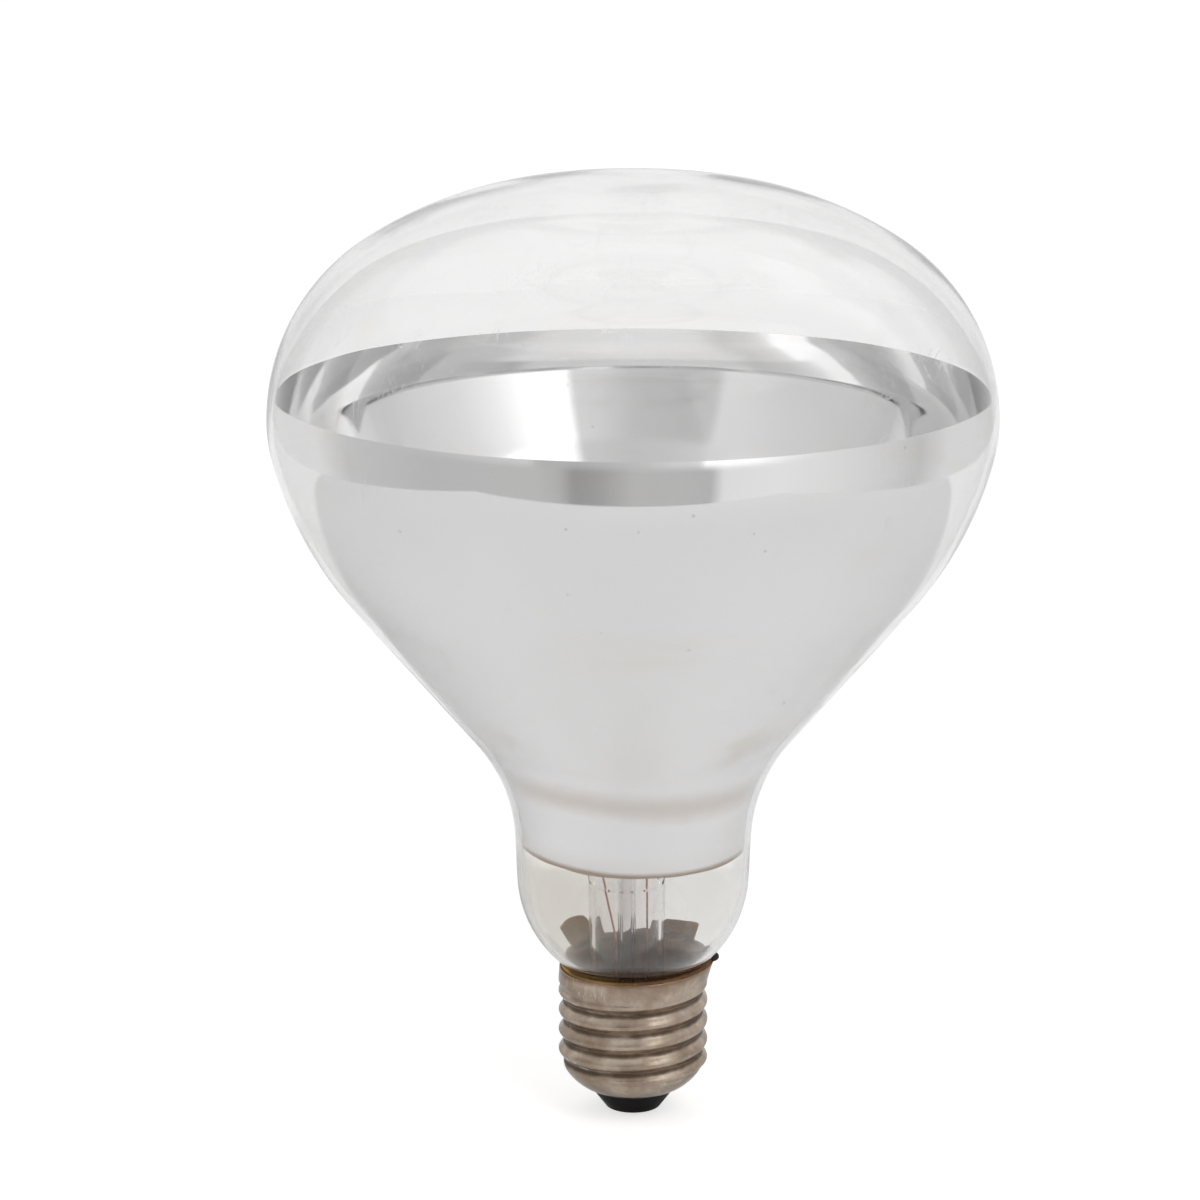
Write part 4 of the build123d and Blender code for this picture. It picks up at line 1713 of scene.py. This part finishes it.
@dataclass
class Studio:
    """Table, walls, lamps and camera."""

    eye: Vector = field(default_factory=lambda: Vector((0.0, -0.6941, 0.26558)))
    pitch: float = math.radians(13.96)
    axis_column: float = 633.0
    focal_pixels: float = 4138.0
    image_width: float = 1200.0
    sensor_width: float = 36.0
    nearest: float = 0.01
    ambient: float = 0.42
    backdrop: float = 1.04
    strength: float = 2.0
    aim: Vector = field(default_factory=lambda: Vector((0.0, 0.0, 0.08)))
    table_low: Vector = field(default_factory=lambda: Vector((-0.40, -0.37, 0.0)))
    table_high: Vector = field(default_factory=lambda: Vector((0.36, 1.0, 0.0)))
    rings: tuple[SkyRing, ...] = (
        SkyRing(-90.0, 1.0, (
            (-180, 0.91), (-150, 0.85), (-115, 0.83), (-100, 0.64), (-66, 0.55), (-30, 0.57), (-23, 0.52),
            (-18, 0.36), (-11, 0.40), (0, 0.55), (14, 0.55), (24, 0.53), (28, 0.86), (46, 0.90), (67, 0.82),
            (87, 0.72), (100, 0.62), (115, 0.79), (150, 0.79), (180, 0.91),
        )),
        SkyRing(2.0, 3.0, (
            (-180, 0.90), (-112, 0.86), (-97, 0.58), (-90, 0.63), (-77, 0.66), (-60, 0.68), (-47, 0.71),
            (-32, 0.75), (-29, 0.53), (-17, 0.54), (0, 0.60), (12, 0.75), (20.5, 0.82), (22.5, 1.38),
            (38, 1.38), (49, 1.07), (62, 0.87), (72, 0.80), (95, 0.67), (112, 0.86), (180, 0.90),
        )),
        SkyRing(36.0, 2.0, (
            (-180, 1.08), (-96, 1.02), (-75, 0.78), (-45, 0.75), (-16, 0.64), (0, 0.62), (20, 0.70),
            (25, 1.48), (50, 1.58), (58, 1.14), (68, 0.96), (90, 0.84), (110, 1.04), (180, 1.08),
        )),
        SkyRing(50.0, 2.0, (
            (-180, 1.10), (-100, 1.05), (-60, 0.84), (0, 0.92), (68, 0.98), (95, 0.84), (120, 1.08),
            (180, 1.10),
        )),
    )

    lamps: tuple[SoftLamp, ...] = (
        SoftLamp("key_softbox", (0.65, -0.75, 0.95), size=0.7, power=4.0),
        SoftLamp("fill_softbox", (-0.9, -0.5, 0.8), size=0.8, power=1.6),
        SoftLamp("back_softbox", (0.0, 0.9, 1.1), size=0.8, power=1.6),
    )

    def grey(self, tone: float) -> Colour:
        """A grey that the world's strength brings to the given tone."""
        level = tone / self.strength
        return level, level, level

    def level_ramp(self, sheet: NodeSheet, around: Socket, ring: SkyRing) -> Socket:
        """Tones of one ring as a ramp by direction.

        Args:
            sheet: the world's nodes.
            around: direction round the lamp, 0 to 1 from -180 to 180 degrees.
            ring: the ring.

        Returns:
            The tone's socket, over the world's strength.
        """
        node = sheet.add("ShaderNodeValToRGB")
        stops = node.color_ramp.elements
        while len(stops) > 1:
            stops.remove(stops[-1])
        for index, (degrees, tone) in enumerate(ring.tones):
            position = (degrees + 180.0) / 360.0
            stop = stops[0] if index == 0 else stops.new(position)
            stop.position = position
            stop.color = (*self.grey(tone), 1.0)
        sheet.feed(node.inputs[0], around)
        return node.outputs[0]

    def light_world(self) -> None:
        """Walls and ceiling by direction; light that reaches dull surfaces is plain and even."""
        world = bpy.data.worlds.new("studio_walls")
        bpy.context.scene.world = world
        world.use_nodes = True
        world.node_tree.nodes.clear()
        sheet = NodeSheet(world.node_tree)
        parts = sheet.add("ShaderNodeSeparateXYZ")
        sheet.feed(parts.inputs[0], sheet.add("ShaderNodeTexCoord").outputs["Generated"])
        across, along, up = parts.outputs
        turn = sheet.math("ARCTAN2", across, sheet.times(along, -1.0))
        around = sheet.plus(sheet.math("DIVIDE", turn, math.tau), 0.5)
        tone: Feed = self.level_ramp(sheet, around, self.rings[0])
        for ring in self.rings[1:]:
            low = math.sin(math.radians(ring.from_elevation - ring.soft))
            high = math.sin(math.radians(ring.from_elevation + ring.soft))
            tone = sheet.blend(sheet.fade(up, low, high), tone, self.level_ramp(sheet, around, ring))
        seen = sheet.ray(RayKind.GLOSSY, RayKind.TRANSMISSION)
        tone = sheet.blend(seen, self.grey(self.ambient), tone)
        tone = sheet.blend(sheet.ray(RayKind.CAMERA), tone, self.grey(self.backdrop))
        background = sheet.add("ShaderNodeBackground")
        sheet.feed(background.inputs["Color"], tone)
        background.inputs["Strength"].default_value = self.strength
        sheet.feed(sheet.add("ShaderNodeOutputWorld").inputs["Surface"], background.outputs[0])

    def lay_table(self) -> None:
        """The white table under the lamp."""
        low, high = self.table_low, self.table_high
        mesh = bpy.data.meshes.new("white_table")
        corners = [(low.x, low.y, 0.0), (high.x, low.y, 0.0), (high.x, high.y, 0.0), (low.x, high.y, 0.0)]
        mesh.from_pydata(corners, [], [(0, 1, 2, 3)])
        mesh.materials.append(WhiteTable("white_table").material())
        table = bpy.data.objects.new("white_table", mesh)
        bpy.context.scene.collection.objects.link(table)

    def hang_lamp(self, lamp: SoftLamp) -> None:
        """Hangs a soft lamp aimed at the bulb, unseen in reflections.

        Args:
            lamp: the lamp.
        """
        data = bpy.data.lights.new(lamp.name, "AREA")
        data.size = lamp.size
        data.energy = lamp.power
        hung = bpy.data.objects.new(lamp.name, data)
        hung.location = Vector(lamp.place)
        hung.rotation_euler = (self.aim - hung.location).to_track_quat("-Z", "Y").to_euler()
        hung.visible_glossy = False
        hung.visible_transmission = False
        hung.visible_camera = False
        bpy.context.scene.collection.objects.link(hung)

    def set_camera(self) -> None:
        """Camera at the photograph's viewing angle."""
        data = bpy.data.cameras.new("photo_camera")
        data.sensor_width = self.sensor_width
        data.lens = self.focal_pixels / self.image_width * data.sensor_width
        data.shift_x = 0.5 - self.axis_column / self.image_width
        data.clip_start = self.nearest
        camera = bpy.data.objects.new("photo_camera", data)
        camera.location = self.eye
        camera.rotation_euler = (math.pi / 2.0 - self.pitch, 0.0, 0.0)
        bpy.context.scene.collection.objects.link(camera)
        bpy.context.scene.camera = camera

    def build(self) -> None:
        """Sets up the whole studio."""
        self.set_camera()
        self.light_world()
        self.lay_table()
        for lamp in self.lamps:
            self.hang_lamp(lamp)
        bpy.context.scene.view_settings.view_transform = "Standard"
        LOG.info("studio set up")


def main() -> None:
    """Builds the lamp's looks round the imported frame."""
    logging.basicConfig(level=logging.INFO, format="%(name)s: %(message)s")
    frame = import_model()
    Studio().build()
    GlassEnvelope().build()
    ScrewCap(frame).build()
    FilamentMount(frame).build()


if __name__ == "__main__":
    main()
